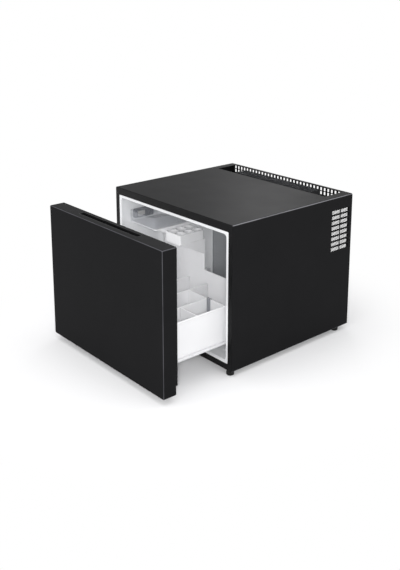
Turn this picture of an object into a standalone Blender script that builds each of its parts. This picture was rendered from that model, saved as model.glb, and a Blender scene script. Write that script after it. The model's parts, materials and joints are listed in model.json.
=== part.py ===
"""Drawer minibar fridge, modelled in its open rest position.

World frame: metres, +Z up, the drawer opens towards -Y. The origin lies on the floor, under the middle
of the box round the whole object with its drawer pulled out.

The cabinet's own frame has Y = 0 at its front plane and Z = 0 at the underside of its casing. The
drawer's own frame has Y = 0 at the rear edge of its front and moves with the drawer.
"""

import math

import bmesh
import bpy
from mathutils import Matrix, Vector

MM = 0.001

# Gaps
FIT = 0.3 * MM
RUNNING_GAP = 0.5 * MM

# Cabinet
CABINET_WIDTH = 486 * MM
CABINET_DEPTH = 448 * MM
CABINET_HEIGHT = 384 * MM
CASING_SHEET = 1.0 * MM
CASING_BEND = 4.0 * MM
CASING_RETURN = 11 * MM
MACHINE_DEPTH = 85 * MM
FOOT_HEIGHT = 14 * MM
FOOT_DIAMETER = 20 * MM
FOOT_STUD_DIAMETER = 6 * MM
FOOT_SIDE_INSET = 18 * MM
FOOT_FRONT_INSET = 12 * MM
FOOT_REAR_INSET = 34 * MM

# Front frame and inner liner
STILE_WIDTH = 16 * MM
TOP_RAIL = 21 * MM
BOTTOM_RAIL = 18 * MM
FRAME_DEPTH = 16 * MM
FLANGE_WIDTH = 8 * MM
LINER_WALL = 2.5 * MM
REAR_FOAM = 14 * MM
CAVITY_CORNER = 14 * MM
FLANGE_CORNER = 6 * MM

# Vents of the machine compartment
SIDE_VENT_ROWS = 8
SIDE_VENT_PITCH = 14.9 * MM
SIDE_VENT_HEIGHT = 9.8 * MM
SIDE_VENT_WIDTH = 31 * MM
SIDE_VENT_DROP = 36 * MM
TOP_VENT_SIDE_STRIP = 28 * MM
TOP_VENT_LENGTH = 75 * MM
TOP_VENT_REAR_STRIP = 8 * MM
COVER_SHEET = 1.0 * MM
COVER_FLANGE = 7 * MM
MESH_PITCH_X = 13.1 * MM
MESH_PITCH_Z = 11.5 * MM
MESH_SLOT_WIDTH = 6.5 * MM
MESH_SLOT_HEIGHT = 9 * MM
MESH_ROWS = 2
LOUVRE_PITCH = 11 * MM
LOUVRE_HEIGHT = 8 * MM
LOUVRE_ROWS = 17
LOUVRE_COLUMNS = 3
INTAKE_SLOTS = 13
INTAKE_SLOT_WIDTH = 14 * MM
INTAKE_SLOT_LENGTH = 52 * MM

# Cooling unit
COLD_PLATE_THICKNESS = 2.0 * MM
COLD_PLATE_MARGIN = 5 * MM
COOLER_DROP = 143 * MM
COLD_BLOCK_SIZE = 60 * MM
BLOCK_CLEARANCE = 2 * MM
BULKHEAD_SHEET = 0.8 * MM
BLOCK_PROTRUSION = 3 * MM
MODULE_SIZE = 40 * MM
MODULE_THICKNESS = 3.8 * MM
HOT_BLOCK_WIDTH = 76 * MM
HOT_BLOCK_HEIGHT = 64 * MM
HOT_BLOCK_THICKNESS = 16 * MM
BOLT_DIAMETER = 4 * MM
BOLT_SPACING = 54 * MM
FIN_COUNT = 31
FIN_PITCH = 10 * MM
FIN_THICKNESS = 1.2 * MM
FIN_HEIGHT = 40 * MM
FIN_DEPTH = 44 * MM
FIN_TOP_GAP = 7 * MM
FIN_FRONT_GAP = 30 * MM
CONDENSER_OFFSET_X = -16 * MM
TUBE_DIAMETER = 9 * MM
TUBE_SPACING = 22 * MM
TUBE_OVERHANG = 6 * MM
PIPE_BEND = 11 * MM

# Power supply
SUPPLY_WIDTH = 150 * MM
SUPPLY_DEPTH = 58 * MM
SUPPLY_HEIGHT = 52 * MM
SUPPLY_SIDE_ROOM = 58 * MM
INLET_WIDTH = 27 * MM
INLET_HEIGHT = 20 * MM
INLET_DEPTH = 16 * MM

# Control housing on the left cavity wall
CONTROL_FRONT = 40 * MM
CONTROL_LENGTH = 66 * MM
CONTROL_HEADROOM = 40 * MM
CONTROL_HEIGHT = 26 * MM
CONTROL_PROTRUSION = 12 * MM
CONTROL_WALL = 1.8 * MM
KNOB_DIAMETER = 20 * MM
KNOB_HEIGHT = 4 * MM
KNOB_SHAFT_DIAMETER = 6 * MM
LENS_LENGTH = 26 * MM
LENS_HEIGHT = 14 * MM
LENS_THICKNESS = 1.6 * MM
BOARD_THICKNESS = 1.6 * MM

# Drawer front
FRONT_THICKNESS = 42 * MM
FRONT_TOP_STEP = 14.5 * MM
FRONT_GROUND_GAP = 3 * MM
FRONT_WALL = 1.8 * MM
FRONT_EDGE_RADIUS = 3.5 * MM
RIM_DEPTH = 5 * MM
RIM_BOTTOM_NOTCH = 25 * MM
PULL_OUT = 173 * MM
GASKET_PROUD = 1 * MM
GASKET_WIDTH = 8 * MM
GASKET_SIDE_INSET = 8 * MM
GASKET_TOP_INSET = 3 * MM
GASKET_BOTTOM_INSET = 7 * MM
PANEL_WALL = 2.0 * MM
PLUG_HEIGHT = 8 * MM
PLUG_CLEARANCE = 8 * MM
GRIP_WIDTH = 252 * MM
GRIP_LENGTH = 18 * MM
GRIP_FRONT_LIP = 16 * MM
GRIP_DEPTH = 24 * MM
GRIP_WALL = 1.6 * MM

# Basket and its dividers
BASKET_SIDE_GAP = 13 * MM
BASKET_REAR_ROOM = 35.2 * MM
BASKET_HEIGHT = 101 * MM
BASKET_BOTTOM = 63 * MM
BASKET_WALL = 2.2 * MM
BASKET_FLOOR = 2.5 * MM
BASKET_CORNER = 12 * MM
BASKET_DRAFT = 1.0 * MM
RIM_BEAD = 1.2 * MM
RIM_BEAD_HEIGHT = 4 * MM
DIVIDER_THICKNESS = 2.0 * MM
FIRST_CELL_WIDTH = 120 * MM
CELL_WIDTH = 75 * MM
LAST_CELL_WIDTH = 67 * MM
DIVIDER_FOOT_CHAMFER = 5 * MM
REAR_PARTITION_Y = 183 * MM
FRONT_PARTITION_Y = 93 * MM
SNAP_HOLE_DIAMETER = 5 * MM
CLIP_WIDTH = 12 * MM
CLIP_LEG = 60 * MM
CLIP_SHEET = 2.0 * MM

# Rack, upper tray and miniature holder
RACK_LEFT_GAP = 10 * MM
RACK_SHEET = 3.0 * MM
RACK_HOOK_HEIGHT = 36 * MM
SHELF_SHEET = 2.6 * MM
GUSSET_THICKNESS = 3 * MM
TRAY_HEADROOM = 31 * MM
TRAY_WIDTH = 116 * MM
TRAY_LENGTH = 125 * MM
TRAY_HEIGHT = 34 * MM
TRAY_WALL = 2.0 * MM
TRAY_CORNER = 14 * MM
HOLDER_DROP = 33 * MM
HOLDER_WIDTH = 66 * MM
HOLDER_LENGTH = 86 * MM
HOLDER_HEIGHT = 26 * MM
HOLDER_WALL = 2.0 * MM
CUP_DIAMETER = 27 * MM
CUP_COLUMNS = 2
CUP_ROWS = 3

# Roller runners
ROLLER_DIAMETER = 14 * MM
ROLLER_WIDTH = 6.5 * MM
AXLE_DIAMETER = 4 * MM
AXLE_HEAD_DIAMETER = 8 * MM
AXLE_HEAD = 1.2 * MM
RUNNER_SHEET = 1.2 * MM
RUNNER_FRONT = 3 * MM
RUNNER_REAR_GAP = 14 * MM
RUNNER_SEAT = 10 * MM
FLANGE_RISE = 6.9 * MM
FRONT_ROLLER_Y = 14 * MM
REAR_ROLLER_INSET = 11 * MM
PROFILE_TAB = 22 * MM

# Derived cabinet sizes
HALF_WIDTH = CABINET_WIDTH / 2
INSIDE_HALF = HALF_WIDTH - CASING_SHEET - FIT
INSIDE_TOP = CABINET_HEIGHT - CASING_SHEET - FIT
INSIDE_BOTTOM = CASING_SHEET + FIT
INSIDE_BEND = CASING_BEND - CASING_SHEET - FIT
PAN_TOP = INSIDE_BOTTOM + CASING_SHEET
FLANGE_HALF = HALF_WIDTH - STILE_WIDTH
FLANGE_BOTTOM = BOTTOM_RAIL
FLANGE_TOP = CABINET_HEIGHT - TOP_RAIL
CAVITY_HALF = FLANGE_HALF - FLANGE_WIDTH
CAVITY_BOTTOM = FLANGE_BOTTOM + FLANGE_WIDTH
CAVITY_TOP = FLANGE_TOP - FLANGE_WIDTH
FOAM_BACK = CABINET_DEPTH - MACHINE_DEPTH
LINER_BACK = FOAM_BACK - REAR_FOAM
CAVITY_DEPTH = LINER_BACK - LINER_WALL
BULKHEAD_FRONT = FOAM_BACK + FIT
BULKHEAD_BACK = BULKHEAD_FRONT + BULKHEAD_SHEET
SIDE_VENT_TOP = CABINET_HEIGHT - SIDE_VENT_DROP
TOP_VENT_WIDTH = CABINET_WIDTH - 2 * TOP_VENT_SIDE_STRIP
TOP_VENT_REAR = CABINET_DEPTH - TOP_VENT_REAR_STRIP
TOP_VENT_FRONT = TOP_VENT_REAR - TOP_VENT_LENGTH

CONTROL_BOTTOM = CAVITY_TOP - CONTROL_HEADROOM - CONTROL_HEIGHT
SUPPLY_CENTRE_X = SUPPLY_SIDE_ROOM + SUPPLY_WIDTH / 2 - HALF_WIDTH

# Derived cooler sizes, front to back
COOLER_HEIGHT = CAVITY_TOP - COOLER_DROP
COLD_PLATE_BACK = CAVITY_DEPTH - FIT
COLD_PLATE_FRONT = COLD_PLATE_BACK - COLD_PLATE_THICKNESS
COLD_BLOCK_FRONT = COLD_PLATE_BACK + FIT
COLD_BLOCK_BACK = BULKHEAD_BACK + BLOCK_PROTRUSION
MODULE_FRONT = COLD_BLOCK_BACK + FIT
MODULE_BACK = MODULE_FRONT + MODULE_THICKNESS
HOT_BLOCK_FRONT = MODULE_BACK + FIT
HOT_BLOCK_BACK = HOT_BLOCK_FRONT + HOT_BLOCK_THICKNESS
HOT_BLOCK_Y = (HOT_BLOCK_FRONT + HOT_BLOCK_BACK) / 2
BLOCK_WINDOW = COLD_BLOCK_SIZE + 2 * BLOCK_CLEARANCE
TUBE_RADIUS = TUBE_DIAMETER / 2
FIN_LENGTH = (FIN_COUNT - 1) * FIN_PITCH + FIN_THICKNESS
FIN_TOP = CABINET_HEIGHT - CASING_SHEET - FIN_TOP_GAP
FIN_FRONT = BULKHEAD_BACK + FIN_FRONT_GAP
FIN_MIDDLE_Y = FIN_FRONT + FIN_DEPTH / 2
TUBE_Z = FIN_TOP - FIN_HEIGHT / 2
TUBE_END_X = CONDENSER_OFFSET_X + FIN_LENGTH / 2 + TUBE_OVERHANG

# Derived drawer sizes, in the drawer's own frame
FRONT_TOP = CABINET_HEIGHT - FRONT_TOP_STEP
SHELL_INNER_HALF = HALF_WIDTH - FRONT_WALL - FIT
SHELL_INNER_BOTTOM = FRONT_GROUND_GAP + FRONT_WALL + FIT
SHELL_INNER_TOP = FRONT_TOP - FRONT_WALL - FIT
PANEL_REAR = -RIM_DEPTH
PLUG_REAR = PANEL_REAR + PLUG_HEIGHT
PLUG_HALF = CAVITY_HALF - PLUG_CLEARANCE
PLUG_BOTTOM = CAVITY_BOTTOM + PLUG_CLEARANCE
PLUG_TOP = CAVITY_TOP - PLUG_CLEARANCE
BASKET_FRONT = PLUG_REAR + FIT
BASKET_REAR = CAVITY_DEPTH - BASKET_REAR_ROOM
BASKET_HALF = CAVITY_HALF - BASKET_SIDE_GAP
BASKET_TOP = BASKET_BOTTOM + BASKET_HEIGHT
FLOOR_TOP = BASKET_BOTTOM + BASKET_FLOOR
SECOND_DIVIDER_X = FIRST_CELL_WIDTH + CELL_WIDTH - BASKET_HALF
LAST_DIVIDER_X = BASKET_HALF - LAST_CELL_WIDTH
DIVIDER_X = (SECOND_DIVIDER_X - CELL_WIDTH, SECOND_DIVIDER_X, LAST_DIVIDER_X - CELL_WIDTH,
             LAST_DIVIDER_X)
TRAY_BOTTOM = CAVITY_TOP - TRAY_HEADROOM - TRAY_HEIGHT
HOLDER_BOTTOM = TRAY_BOTTOM - HOLDER_DROP

# Derived runner sizes
ROLLER_RADIUS = ROLLER_DIAMETER / 2
AXLE_RADIUS = AXLE_DIAMETER / 2
WEB_OUTER = CAVITY_HALF - FIT
WEB_INNER = WEB_OUTER - RUNNER_SHEET
PROFILE_INNER = BASKET_HALF + FIT
PROFILE_OUTER = PROFILE_INNER + RUNNER_SHEET
SEAT_TOP = BASKET_BOTTOM - FIT
SEAT_BOTTOM = SEAT_TOP - RUNNER_SHEET
TRACK_UNDERSIDE = SEAT_BOTTOM + FLANGE_RISE
TRACK_TOP = TRACK_UNDERSIDE + RUNNER_SHEET
TRACK_OUTER = WEB_INNER - RUNNING_GAP - ROLLER_WIDTH / 4
FRONT_ROLLER_Z = TRACK_UNDERSIDE - FIT - ROLLER_RADIUS
CHANNEL_TOP = TRACK_UNDERSIDE - RUNNING_GAP
CHANNEL_INNER_TOP = CHANNEL_TOP - RUNNER_SHEET
REAR_ROLLER_Z = CHANNEL_INNER_TOP - FIT - ROLLER_RADIUS
CHANNEL_INNER_BOTTOM = REAR_ROLLER_Z - ROLLER_RADIUS - FIT
CHANNEL_BOTTOM = CHANNEL_INNER_BOTTOM - RUNNER_SHEET
CHANNEL_LIP = PROFILE_OUTER + 2 * RUNNING_GAP
CHANNEL_REAR = CAVITY_DEPTH - RUNNER_REAR_GAP
REAR_ROLLER_Y = BASKET_REAR - REAR_ROLLER_INSET

# Place of the two frames in the world
OVERALL_LENGTH = FRONT_THICKNESS + PULL_OUT + CABINET_DEPTH
CABINET_Y = OVERALL_LENGTH / 2 - CABINET_DEPTH
DRAWER_Y = CABINET_Y - PULL_OUT

# Finishes: sRGB colour, roughness, metallic
FINISHES = {
    "black_steel": ((0.16, 0.16, 0.165), 0.42, 0.0),
    "black_plastic": ((0.12, 0.12, 0.125), 0.35, 0.0),
    "rubber": ((0.06, 0.06, 0.06), 0.75, 0.0),
    "white_plastic": ((0.92, 0.92, 0.93), 0.38, 0.0),
    "white_steel": ((0.9, 0.9, 0.9), 0.4, 0.0),
    "foam": ((0.86, 0.8, 0.62), 0.95, 0.0),
    "aluminium": ((0.5, 0.51, 0.53), 0.4, 1.0),
    "zinc_steel": ((0.66, 0.67, 0.69), 0.4, 1.0),
    "copper": ((0.72, 0.45, 0.32), 0.35, 1.0),
    "ceramic": ((0.93, 0.93, 0.9), 0.5, 0.0),
    "grey_plastic": ((0.25, 0.255, 0.265), 0.4, 0.0),
    "smoke_plastic": ((0.5, 0.5, 0.53), 0.2, 0.0),
    "lens": ((0.95, 0.94, 0.9), 0.25, 0.0),
    "circuit_board": ((0.1, 0.35, 0.2), 0.5, 0.0),
}


def clear_scene():
    """Empty the scene before the model is made."""
    for item in list(bpy.data.objects):
        bpy.data.objects.remove(item, do_unlink=True)


def finish_material(name, finish):
    """One Principled material for one piece."""
    colour, roughness, metallic = FINISHES[finish]
    material = bpy.data.materials.new(name)
    material.use_nodes = True
    shader = material.node_tree.nodes["Principled BSDF"]
    linear = [c / 12.92 if c <= 0.04045 else ((c + 0.055) / 1.055) ** 2.4 for c in colour]
    shader.inputs["Base Color"].default_value = (*linear, 1.0)
    shader.inputs["Roughness"].default_value = roughness
    shader.inputs["Metallic"].default_value = metallic
    return material


def frame_empty(name, location):
    """An empty that carries the pieces of one body."""
    empty = bpy.data.objects.new(name, None)
    empty.location = location
    bpy.context.scene.collection.objects.link(empty)
    return empty


def add_piece(name, shape, finish, carrier, location=(0, 0, 0), smooth_angle=None):
    """Turn a bmesh into a named object with its own material, carried by a frame empty."""
    mesh = bpy.data.meshes.new(name)
    shape.to_mesh(mesh)
    shape.free()
    mesh.materials.append(finish_material(name, finish))
    if smooth_angle is not None:
        mesh.shade_smooth()
        mesh.set_sharp_from_angle(angle=math.radians(smooth_angle))
    piece = bpy.data.objects.new(name, mesh)
    piece.parent = carrier
    piece.location = location
    bpy.context.scene.collection.objects.link(piece)
    return piece


def combine(piece, shape, operation):
    """Cut a shape from a piece, or join it on, with an exact Boolean."""
    mesh = bpy.data.meshes.new(piece.name + "_" + operation.lower())
    shape.to_mesh(mesh)
    shape.free()
    tool = bpy.data.objects.new(mesh.name, mesh)
    tool.parent = piece.parent
    tool.location = piece.location
    tool.hide_render = True
    tool.display_type = "WIRE"
    bpy.context.scene.collection.objects.link(tool)
    modifier = piece.modifiers.new(tool.name, "BOOLEAN")
    modifier.operation = operation
    modifier.solver = "EXACT"
    modifier.object = tool
    return piece


def rounded_ring(low, high, radius, level, axis, steps=3):
    """Points round a rectangle with arc corners, in the plane across one axis at one level."""
    centres = ((high[0] - radius, high[1] - radius, 0), (low[0] + radius, high[1] - radius, 90),
               (low[0] + radius, low[1] + radius, 180), (high[0] - radius, low[1] + radius, 270))
    points = []
    for u, v, start in centres:
        for step in range(steps + 1):
            angle = math.radians(start + 90 * step / steps)
            across = (u + radius * math.cos(angle), v + radius * math.sin(angle))
            points.append(place(across, level, axis))
    return points


def place(across, level, axis):
    """A point from its two sizes across an axis and its level along it."""
    if axis == "X":
        return Vector((level, across[0], across[1]))
    if axis == "Y":
        return Vector((across[0], level, across[1]))
    return Vector((across[0], across[1], level))


def loft(rings, closed=False):
    """Skin a body over rings of equal count, and cap its ends or join the last ring to the first."""
    shape = bmesh.new()
    rows = [[shape.verts.new(point) for point in ring] for ring in rings]
    pairs = list(zip(rows, rows[1:]))
    if closed:
        pairs.append((rows[-1], rows[0]))
    else:
        shape.faces.new(rows[0])
        shape.faces.new(rows[-1])
    for lower, upper in pairs:
        for index in range(len(lower)):
            following = (index + 1) % len(lower)
            shape.faces.new((lower[index], lower[following], upper[following], upper[index]))
    bmesh.ops.recalc_face_normals(shape, faces=shape.faces)
    return shape


def centred_ring(half, bottom, top, radius, y, steps=3):
    """A ring that faces the front, with its middle on the cabinet's middle plane."""
    return rounded_ring((-half, bottom), (half, top), radius, y, "Y", steps)


def prism(outline, start, end, axis):
    """Push a flat outline along an axis with an extrusion."""
    shape = bmesh.new()
    face = shape.faces.new([shape.verts.new(place(point, start, axis)) for point in outline])
    pushed = bmesh.ops.extrude_face_region(shape, geom=[face])["geom"]
    moved = [item for item in pushed if isinstance(item, bmesh.types.BMVert)]
    bmesh.ops.translate(shape, verts=moved, vec=place((0, 0), end - start, axis))
    bmesh.ops.recalc_face_normals(shape, faces=shape.faces)
    return shape


def block(low, high):
    """A plain box between two corners, for cutters and flat plates."""
    shape = bmesh.new()
    add_block(shape, low, high)
    return shape


def add_block(shape, low, high):
    """Add a box between two corners to a shape."""
    size = [b - a for a, b in zip(low, high)]
    middle = [(a + b) / 2 for a, b in zip(low, high)]
    matrix = Matrix.Translation(middle) @ Matrix.Diagonal((*size, 1.0))
    bmesh.ops.create_cube(shape, size=1.0, matrix=matrix)


def turned(profile, segments, axis):
    """Spin a closed outline of (radius, level) points round an axis through the piece's origin."""
    shape = bmesh.new()
    verts = [shape.verts.new((radius, 0, level)) for radius, level in profile]
    edges = [shape.edges.new((verts[i], verts[(i + 1) % len(verts)])) for i in range(len(verts))]
    bmesh.ops.spin(shape, geom=verts + edges, axis=(0, 0, 1), cent=(0, 0, 0), angle=math.tau,
                   steps=segments, use_merge=True)
    bmesh.ops.remove_doubles(shape, verts=shape.verts, dist=1e-6)
    bmesh.ops.dissolve_degenerate(shape, edges=shape.edges, dist=1e-7)
    if axis == "X":
        shape.transform(Matrix.Rotation(math.radians(90), 4, "Y"))
    if axis == "Y":
        shape.transform(Matrix.Rotation(math.radians(-90), 4, "X"))
    bmesh.ops.recalc_face_normals(shape, faces=shape.faces)
    return shape


def cylinder(radius, start, end, axis, centre=(0, 0), segments=16):
    """A round bar along an axis between two levels."""
    ring = []
    for step in range(segments):
        angle = math.tau * (step + 0.5) / segments
        ring.append((centre[0] + radius * math.cos(angle), centre[1] + radius * math.sin(angle)))
    return prism(ring, start, end, axis)


def merge_shapes(*shapes):
    """Collect separate shapes in one cutter."""
    whole = bmesh.new()
    for shape in shapes:
        mesh = bpy.data.meshes.new("part_of_cutter")
        shape.to_mesh(mesh)
        shape.free()
        whole.from_mesh(mesh)
        bpy.data.meshes.remove(mesh)
    return whole


def mirrored(outline, side):
    """Reflect an outline's first size for the left or the right side."""
    return [(side * u, v) for u, v in outline]


def spans(low, high, side):
    """Two X levels in rising order for the left or the right side."""
    return tuple(sorted((side * low, side * high)))


def side_block(low, high, side):
    """A box given for the right side and placed on either side."""
    x0, x1 = spans(low[0], high[0], side)
    return block((x0, low[1], low[2]), (x1, high[1], high[2]))


def arc_points(centre, radius, start, end, steps):
    """Points along an arc, angles in degrees."""
    points = []
    for step in range(steps + 1):
        angle = math.radians(start + (end - start) * step / steps)
        points.append((centre[0] + radius * math.cos(angle), centre[1] + radius * math.sin(angle)))
    return points


# Casing, base and front frame

def casing_outline():
    """Section of the folded sheet: two sides, a top and two bottom returns, outside then inside."""
    outer = CASING_BEND
    inner = CASING_BEND - CASING_SHEET
    left = -HALF_WIDTH + outer
    right = HALF_WIDTH - outer
    low = outer
    high = CABINET_HEIGHT - outer
    turn = HALF_WIDTH - CASING_RETURN
    outside = [(-turn, 0)] + arc_points((left, low), outer, 270, 180, 3)
    outside += arc_points((left, high), outer, 180, 90, 3) + arc_points((right, high), outer, 90, 0, 3)
    outside += arc_points((right, low), outer, 0, -90, 3) + [(turn, 0)]
    inside = [(turn, CASING_SHEET)] + arc_points((right, low), inner, -90, 0, 3)
    inside += arc_points((right, high), inner, 0, 90, 3) + arc_points((left, high), inner, 90, 180, 3)
    inside += arc_points((left, low), inner, 180, 270, 3) + [(-turn, CASING_SHEET)]
    return outside + inside


def side_vent_columns():
    """Front and rear edges of the two columns of side slots, spread over the machine compartment."""
    room = CABINET_DEPTH - COVER_FLANGE - BULKHEAD_BACK
    gap = (room - 2 * SIDE_VENT_WIDTH) / 3
    first = BULKHEAD_BACK + gap * 0.2
    second = first + SIDE_VENT_WIDTH + gap
    return ((first, first + SIDE_VENT_WIDTH), (second, second + SIDE_VENT_WIDTH))


def make_outer_casing(cabinet):
    """Folded steel casing with the side slots and the open top vent."""
    casing = add_piece("outer_casing", prism(casing_outline(), 0, CABINET_DEPTH, "Y"), "black_steel",
                       cabinet, smooth_angle=32)
    slots = bmesh.new()
    for side in (-1, 1):
        x0, x1 = spans(HALF_WIDTH - 2 * CASING_SHEET, HALF_WIDTH + CASING_SHEET, side)
        for front, rear in side_vent_columns():
            for row in range(SIDE_VENT_ROWS):
                top = SIDE_VENT_TOP - row * SIDE_VENT_PITCH
                add_block(slots, (x0, front, top - SIDE_VENT_HEIGHT), (x1, rear, top))
    half = TOP_VENT_WIDTH / 2
    add_block(slots, (-half, TOP_VENT_FRONT, CABINET_HEIGHT - 2 * CASING_SHEET),
              (half, TOP_VENT_REAR, CABINET_HEIGHT + CASING_SHEET))
    combine(casing, slots, "DIFFERENCE")


def foot_places():
    """Names and places of the four feet, in the cabinet's frame."""
    x = HALF_WIDTH - FOOT_SIDE_INSET
    front = FOOT_FRONT_INSET
    rear = CABINET_DEPTH - FOOT_REAR_INSET
    return (("foot_front_left", -x, front), ("foot_front_right", x, front),
            ("foot_rear_left", -x, rear), ("foot_rear_right", x, rear))


def stud_hole(x, y):
    """Cutter for a foot's stud."""
    radius = FOOT_STUD_DIAMETER / 2 + FIT
    return cylinder(radius, -CASING_SHEET, INSIDE_BOTTOM + FRAME_DEPTH / 2, "Z", (x, y), 12)


def make_base_pan(cabinet):
    """Flat steel floor on the casing's returns, slotted under the machine compartment."""
    half = HALF_WIDTH - CASING_BEND
    front = FRAME_DEPTH + FIT
    pan = add_piece("base_pan", block((-half, front, INSIDE_BOTTOM), (half, CABINET_DEPTH - FIT, PAN_TOP)),
                    "zinc_steel", cabinet)
    cutters = bmesh.new()
    pitch = 2 * (half - FOOT_SIDE_INSET - FOOT_DIAMETER) / INTAKE_SLOTS
    middle = (BULKHEAD_BACK + CABINET_DEPTH) / 2
    for index in range(INTAKE_SLOTS):
        x = (index - (INTAKE_SLOTS - 1) / 2) * pitch
        add_block(cutters, (x - INTAKE_SLOT_WIDTH / 2, middle - INTAKE_SLOT_LENGTH / 2, 0),
                  (x + INTAKE_SLOT_WIDTH / 2, middle + INTAKE_SLOT_LENGTH / 2, PAN_TOP + CASING_SHEET))
    holes = [stud_hole(x, y) for name, x, y in foot_places() if "rear" in name]
    combine(pan, merge_shapes(cutters, *holes), "DIFFERENCE")


def make_front_frame(cabinet):
    """Moulded frame round the mouth, rebated to hold the liner's flange."""
    edge = 1.0 * MM
    wall = CAVITY_HALF + LINER_WALL + FIT
    wall_bottom = CAVITY_BOTTOM - LINER_WALL - FIT
    wall_top = CAVITY_TOP + LINER_WALL + FIT
    opening = (FLANGE_HALF + FIT, FLANGE_BOTTOM - FIT, FLANGE_TOP + FIT, FLANGE_CORNER)
    seat = LINER_WALL + 2 * FIT
    rings = [
        centred_ring(INSIDE_HALF - edge, INSIDE_BOTTOM + edge, INSIDE_TOP - edge, INSIDE_BEND - edge, 0),
        centred_ring(INSIDE_HALF, INSIDE_BOTTOM, INSIDE_TOP, INSIDE_BEND, edge),
        centred_ring(INSIDE_HALF, INSIDE_BOTTOM, INSIDE_TOP, INSIDE_BEND, FRAME_DEPTH),
        centred_ring(wall, wall_bottom, wall_top, CAVITY_CORNER + LINER_WALL, FRAME_DEPTH),
        centred_ring(wall, wall_bottom, wall_top, CAVITY_CORNER + LINER_WALL, seat),
        centred_ring(*opening, seat),
        centred_ring(*opening, edge / 2),
        centred_ring(opening[0] + edge / 2, opening[1] - edge / 2, opening[2] + edge / 2, FLANGE_CORNER, 0),
    ]
    frame = add_piece("front_frame", loft(rings, closed=True), "black_plastic", cabinet, smooth_angle=40)
    holes = [stud_hole(x, y) for name, x, y in foot_places() if "front" in name]
    combine(frame, merge_shapes(*holes), "DIFFERENCE")


def make_feet(cabinet):
    """Four turned feet whose studs plug into the frame and the floor."""
    radius = FOOT_DIAMETER / 2
    stud = FOOT_STUD_DIAMETER / 2
    neck = radius * 0.6
    profile = [(0, -FOOT_HEIGHT), (radius * 0.86, -FOOT_HEIGHT), (radius, -FOOT_HEIGHT + radius * 0.2),
               (radius, -FOOT_HEIGHT * 0.45), (radius * 0.86, -FIT), (neck, -FIT),
               (neck, CASING_SHEET), (stud, CASING_SHEET), (stud, CASING_SHEET + FRAME_DEPTH / 4),
               (0, CASING_SHEET + FRAME_DEPTH / 4)]
    for name, x, y in foot_places():
        add_piece(name, turned(profile, 14, "Z"), "rubber", cabinet, (x, y, 0), smooth_angle=40)


# Insulated cavity

def liner_ring(grow, inset, y):
    """Ring round the cavity, grown outwards by a wall and drawn in by a fillet."""
    step = grow - inset
    radius = max(CAVITY_CORNER + step, LINER_WALL)
    return centred_ring(CAVITY_HALF + step, CAVITY_BOTTOM - step, CAVITY_TOP + step, radius, y)


def make_inner_liner(cabinet):
    """Vacuum-formed liner with a rolled mouth and a filleted back."""
    fillet = 4 * MM
    lip = 1.5 * MM
    front = FIT
    flange_back = front + LINER_WALL
    rings = [
        liner_ring(0, fillet, CAVITY_DEPTH),
        liner_ring(0, fillet * 0.3, CAVITY_DEPTH - fillet * 0.3),
        liner_ring(0, 0, CAVITY_DEPTH - fillet),
        liner_ring(0, 0, front + lip),
        liner_ring(lip, 0, front),
        centred_ring(FLANGE_HALF, FLANGE_BOTTOM, FLANGE_TOP, FLANGE_CORNER, front),
        centred_ring(FLANGE_HALF, FLANGE_BOTTOM, FLANGE_TOP, FLANGE_CORNER, flange_back),
        liner_ring(LINER_WALL, 0, flange_back),
        liner_ring(LINER_WALL, 0, LINER_BACK - fillet),
        liner_ring(LINER_WALL, fillet * 0.3, LINER_BACK - fillet * 0.3),
        liner_ring(LINER_WALL, fillet, LINER_BACK),
    ]
    liner = add_piece("inner_liner", loft(rings), "white_plastic", cabinet, smooth_angle=40)
    combine(liner, block_window(CAVITY_DEPTH - LINER_WALL, LINER_BACK + LINER_WALL), "DIFFERENCE")


def block_window(front, rear):
    """Cutter for the opening that the cold block passes through."""
    half = BLOCK_WINDOW / 2
    return block((-half, front, COOLER_HEIGHT - half), (half, rear, COOLER_HEIGHT + half))


def make_foam(cabinet):
    """Insulation between the casing and the liner."""
    front = FRAME_DEPTH + FIT
    bottom = PAN_TOP + FIT
    rings = [
        liner_ring(LINER_WALL + FIT, 0, LINER_BACK + FIT),
        liner_ring(LINER_WALL + FIT, 0, front),
        centred_ring(INSIDE_HALF, bottom, INSIDE_TOP, INSIDE_BEND, front),
        centred_ring(INSIDE_HALF, bottom, INSIDE_TOP, INSIDE_BEND, FOAM_BACK),
    ]
    foam = add_piece("insulation_foam", loft(rings), "foam", cabinet)
    combine(foam, block_window(LINER_BACK - LINER_WALL, FOAM_BACK + LINER_WALL), "DIFFERENCE")


def make_rear_bulkhead(cabinet):
    """Steel sheet that closes the foam towards the machine compartment."""
    bottom = PAN_TOP + FIT
    rings = [centred_ring(INSIDE_HALF, bottom, INSIDE_TOP, INSIDE_BEND, y)
             for y in (BULKHEAD_FRONT, BULKHEAD_BACK)]
    bulkhead = add_piece("rear_bulkhead", loft(rings), "zinc_steel", cabinet)
    combine(bulkhead, block_window(FOAM_BACK - LINER_WALL, BULKHEAD_BACK + LINER_WALL), "DIFFERENCE")


# Cooling unit

def make_cold_plate(cabinet):
    """Aluminium plate that covers the back of the cavity, its rim turned forward."""
    rim = 3 * MM
    margin = COLD_PLATE_MARGIN
    half = CAVITY_HALF - margin
    bottom = CAVITY_BOTTOM + margin
    top = CAVITY_TOP - margin
    sheet = COLD_PLATE_THICKNESS
    rings = [
        centred_ring(half - sheet, bottom + sheet, top - sheet, CAVITY_CORNER - sheet, COLD_PLATE_FRONT),
        centred_ring(half - sheet, bottom + sheet, top - sheet, CAVITY_CORNER - sheet,
                     COLD_PLATE_FRONT - rim),
        centred_ring(half, bottom, top, CAVITY_CORNER, COLD_PLATE_FRONT - rim),
        centred_ring(half, bottom, top, CAVITY_CORNER, COLD_PLATE_BACK - CAVITY_CORNER / 10),
        centred_ring(half - sheet, bottom + sheet, top - sheet, CAVITY_CORNER - sheet, COLD_PLATE_BACK),
    ]
    add_piece("cold_plate", loft(rings), "aluminium", cabinet, smooth_angle=40)


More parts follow.
